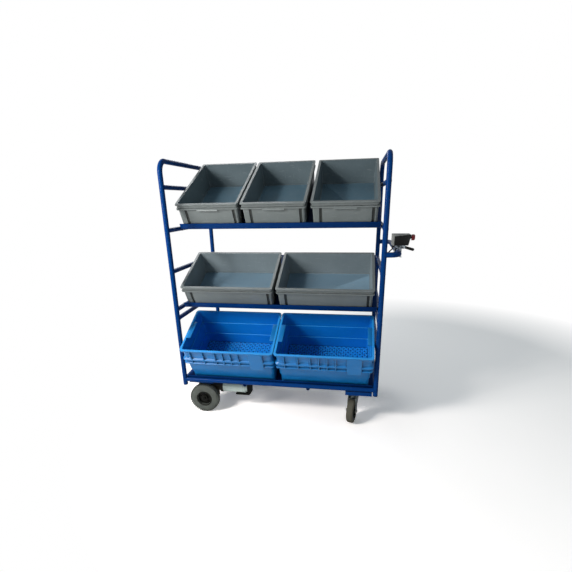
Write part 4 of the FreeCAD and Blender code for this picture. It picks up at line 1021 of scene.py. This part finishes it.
def drive_tyre(which):
    """Tyre with full sidewalls and a tread of small lugs in rows."""
    node_name = "drive_tyre_" + which
    low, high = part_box(node_name)
    centre = (low + high) / 2
    radius = (high.z - low.z) / 2
    width = high.y - low.y
    base = radius - tread_depth
    profile = []
    for i in range(tyre_steps + 1):
        angle = math.pi * i / tyre_steps
        waist = tyre_waist + (1 - tyre_waist) * math.sqrt(abs(math.sin(angle)))
        out = math.copysign(abs(math.cos(angle)) ** tyre_fullness, math.cos(angle)) * width / 2 * waist
        rise = tyre_bead + (base - tyre_bead) * abs(math.sin(angle)) ** tyre_fullness
        profile.append((rise, out))
    obj = revolved(node_name + "_casing", profile, centre, rearward, "drive_rubber")
    body = "drive_wheel_" + which
    stand_for(obj, body, "drive_rubber", node_name)
    lugs = []
    pitch = 2 * math.pi * radius / tread_lug_count
    for row, share in enumerate(tread_row_shares):
        for i in range(tread_lug_count):
            angle = 2 * math.pi * (i + 0.5 * (row % 2)) / tread_lug_count
            outward = Vector((math.sin(angle), 0, math.cos(angle)))
            drop = tread_side_drop if share else 0.0
            middle = centre + outward * (radius - drop - tread_depth) + rearward * (share * width)
            extent = (pitch * tread_lug_share, 2 * tread_depth, width * tread_lug_width_share)
            lugs.append((middle, outward, rearward, extent))
    tread = blocks(node_name + "_lugs", lugs, "drive_rubber")
    stand_for(tread, body, "drive_rubber")


for which in ("front", "rear"):
    drive_tyre(which)


def castor_fork(which):
    """Pressed fork: two legs with round feet, a crown close above the tyre and a hollow swivel head."""
    pivot = Vector(joint("castor_" + which + "_swivel")["pos_m"])
    hub = Vector(joint("castor_" + which + "_roll")["pos_m"])
    trail = Vector((hub.x - pivot.x, hub.y - pivot.y, 0))
    back = trail.normalized()
    axes = Matrix((back.cross(up), back, up)).transposed().to_4x4()
    ground = Vector((pivot.x, pivot.y, 0))
    outline = [(-fork_head, fork_roof[0]), (fork_head, fork_roof[0]), (fork_crown_reach[1], fork_crown[1])]
    for i in range(fork_foot_steps + 1):
        angle = -math.pi * i / fork_foot_steps
        outline.append((trail.length + fork_foot * math.cos(angle), hub.z + fork_foot * math.sin(angle)))
    outline.append((fork_crown_reach[0], fork_crown[0]))
    bm = bmesh.new()
    for side in (-1, 1):
        near, far = side * fork_inner, side * (fork_inner + fork_sheet)
        wedge(bm, outline, min(near, far), max(near, far), 0)
    half = fork_inner + fork_sheet / 2
    block(bm, Vector((-half, fork_crown_reach[0], fork_crown[0])), Vector((half, fork_crown_reach[1], fork_crown[1])))
    body = "castor_swivel_" + which
    legs = piece("castor_fork_" + which + "_legs", bm, ["zinc_steel"], fork_edge, 2, Matrix.Translation(ground) @ axes)
    stand_for(legs, body, "zinc_steel", "castor_fork_" + which)
    roof, top = fork_roof
    inner = fork_head - fork_sheet
    profile = [(inner, fork_crown[1]), (fork_head, fork_crown[1]), (fork_head, roof - fork_shoulder[1]),
               (fork_head - fork_shoulder[0], roof), (fork_race, roof + fork_race_step), (fork_race, top),
               (fork_bore, top), (fork_bore, roof), (inner, roof - fork_sheet)]
    head = revolved("castor_fork_" + which + "_head", profile, ground, up, "zinc_steel", fork_head_segments)
    stand_for(head, body, "zinc_steel")


for which in ("front", "rear"):
    castor_fork(which)


# Control head


def control_head():
    """Black body with a slanted end, and a cap whose top edge runs out towards the button."""
    low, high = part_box("head_housing")
    cap_low, cap_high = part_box("head_cover")
    inner = low.x - head_cap_overlap
    tip = cap_high.z - head_cap_tip
    body = bmesh.new()
    wedge(body, [(inner, low.z), (high.x - head_end_slant, low.z), (high.x, tip), (inner, high.z)], low.y, high.y, 1)
    black = piece("head_body", body, ["head_plastic"], head_edge, edge_segments)
    stand_for(black, "frame", "head_plastic", "head_housing")
    cap = bmesh.new()
    wedge(cap, [(cap_low.x, cap_low.z), (inner, cap_low.z), (inner, high.z), (cap_high.x, tip),
                (cap_high.x, cap_high.z), (cap_low.x, cap_high.z)], cap_low.y, cap_high.y, 1)
    pale = piece("head_cap", cap, ["cover_plastic"], cap_edge, edge_segments)
    stand_for(pale, "frame", "cover_plastic", "head_cover")


control_head()


# Floor, light and camera


def lamp(name, place, size, power, colour):
    """A lamp panel that looks at the trolley."""
    light = bpy.data.lights.new(name, "AREA")
    light.shape = "RECTANGLE"
    light.size, light.size_y = size
    light.energy = power
    light.color = colour
    obj = bpy.data.objects.new(name, light)
    obj.location = place
    obj.rotation_mode = "QUATERNION"
    obj.rotation_quaternion = (lamp_aim - Vector(place)).to_track_quat("-Z", "Y")
    scene.collection.objects.link(obj)


def pale_floor():
    """A wide pale floor that keeps the shadows."""
    mesh = bpy.data.meshes.new("floor")
    corners = [(x * floor_half, y * floor_half, 0) for x, y in ((-1, -1), (1, -1), (1, 1), (-1, 1))]
    mesh.from_pydata(corners, [], [(0, 1, 2, 3)])
    tree, shader = finish_of("pale_floor")
    where = place_of(tree)
    seen = add(tree, "ShaderNodeLightPath").outputs["Is Camera Ray"]
    pale = mixed(tree, noise(tree, where, floor_patch), *floor_tones)
    gain = sum_of(tree, "ADD", sum_of(tree, "MULTIPLY", seen, floor_gain), 1.0)
    lifted = add(tree, "ShaderNodeVectorMath", {0: pale, "Scale": gain}, operation="SCALE").outputs["Vector"]
    tree.links.new(lifted, shader.inputs["Base Color"])
    shader.inputs["Roughness"].default_value = floor_roughness
    shader.inputs["Specular IOR Level"].default_value = floor_gloss
    shader.inputs["Emission Color"].default_value = white
    tree.links.new(sum_of(tree, "MULTIPLY", seen, floor_glow), shader.inputs["Emission Strength"])
    away = add(tree, "ShaderNodeVectorMath", {0: where, 1: floor_middle}, operation="DISTANCE").outputs["Value"]
    far = sum_of(tree, "MULTIPLY", ramp(tree, away, floor_white_from, floor_white_to), seen)
    bright = add(tree, "ShaderNodeEmission", {"Color": white})
    shown = add(tree, "ShaderNodeMixShader", {0: far, 1: shader.outputs[0], 2: bright.outputs[0]})
    tree.links.new(shown.outputs[0], tree.nodes["Material Output"].inputs["Surface"])
    mesh.materials.append(finishes["pale_floor"])
    floor = bpy.data.objects.new("floor", mesh)
    scene.collection.objects.link(floor)


def white_world():
    """Even light all round, seen as white."""
    world = bpy.data.worlds.new("studio")
    world.use_nodes = True
    tree = world.node_tree
    tree.nodes.clear()
    path = add(tree, "ShaderNodeLightPath").outputs
    mirrored = sum_of(tree, "MULTIPLY", path["Is Glossy Ray"], mirrored_white)
    seen = sum_of(tree, "MAXIMUM", sum_of(tree, "MAXIMUM", path["Is Camera Ray"], mirrored),
                  path["Is Transmission Ray"])
    height = add(tree, "ShaderNodeSeparateXYZ", {0: add(tree, "ShaderNodeTexCoord").outputs["Generated"]}).outputs["Z"]
    strength = ramp(tree, height, 0.0, 1.0, side_light, sky_light)
    light = add(tree, "ShaderNodeBackground", {"Color": sky_colour, "Strength": strength})
    backdrop = add(tree, "ShaderNodeBackground", {"Color": white, "Strength": 1.0})
    both = add(tree, "ShaderNodeMixShader", {0: seen, 1: light.outputs[0], 2: backdrop.outputs[0]})
    out = add(tree, "ShaderNodeOutputWorld")
    tree.links.new(both.outputs[0], out.inputs["Surface"])
    scene.world = world


def photo_camera():
    """The photograph's camera."""
    data = bpy.data.cameras.new("camera")
    data.lens = camera_lens
    data.sensor_width = camera_sensor
    data.shift_x, data.shift_y = camera_shift
    obj = bpy.data.objects.new("camera", data)
    heading = Matrix.Rotation(math.radians(-camera_heading), 4, "Z")
    pitch = Matrix.Rotation(math.radians(90 + camera_pitch), 4, "X")
    roll = Matrix.Rotation(math.radians(camera_roll), 4, "Z")
    obj.matrix_world = Matrix.Translation(camera_place) @ heading @ pitch @ roll
    scene.collection.objects.link(obj)
    scene.camera = obj


pale_floor()
white_world()
for row in lamps:
    lamp(*row)
photo_camera()
scene.view_settings.view_transform = "Standard"
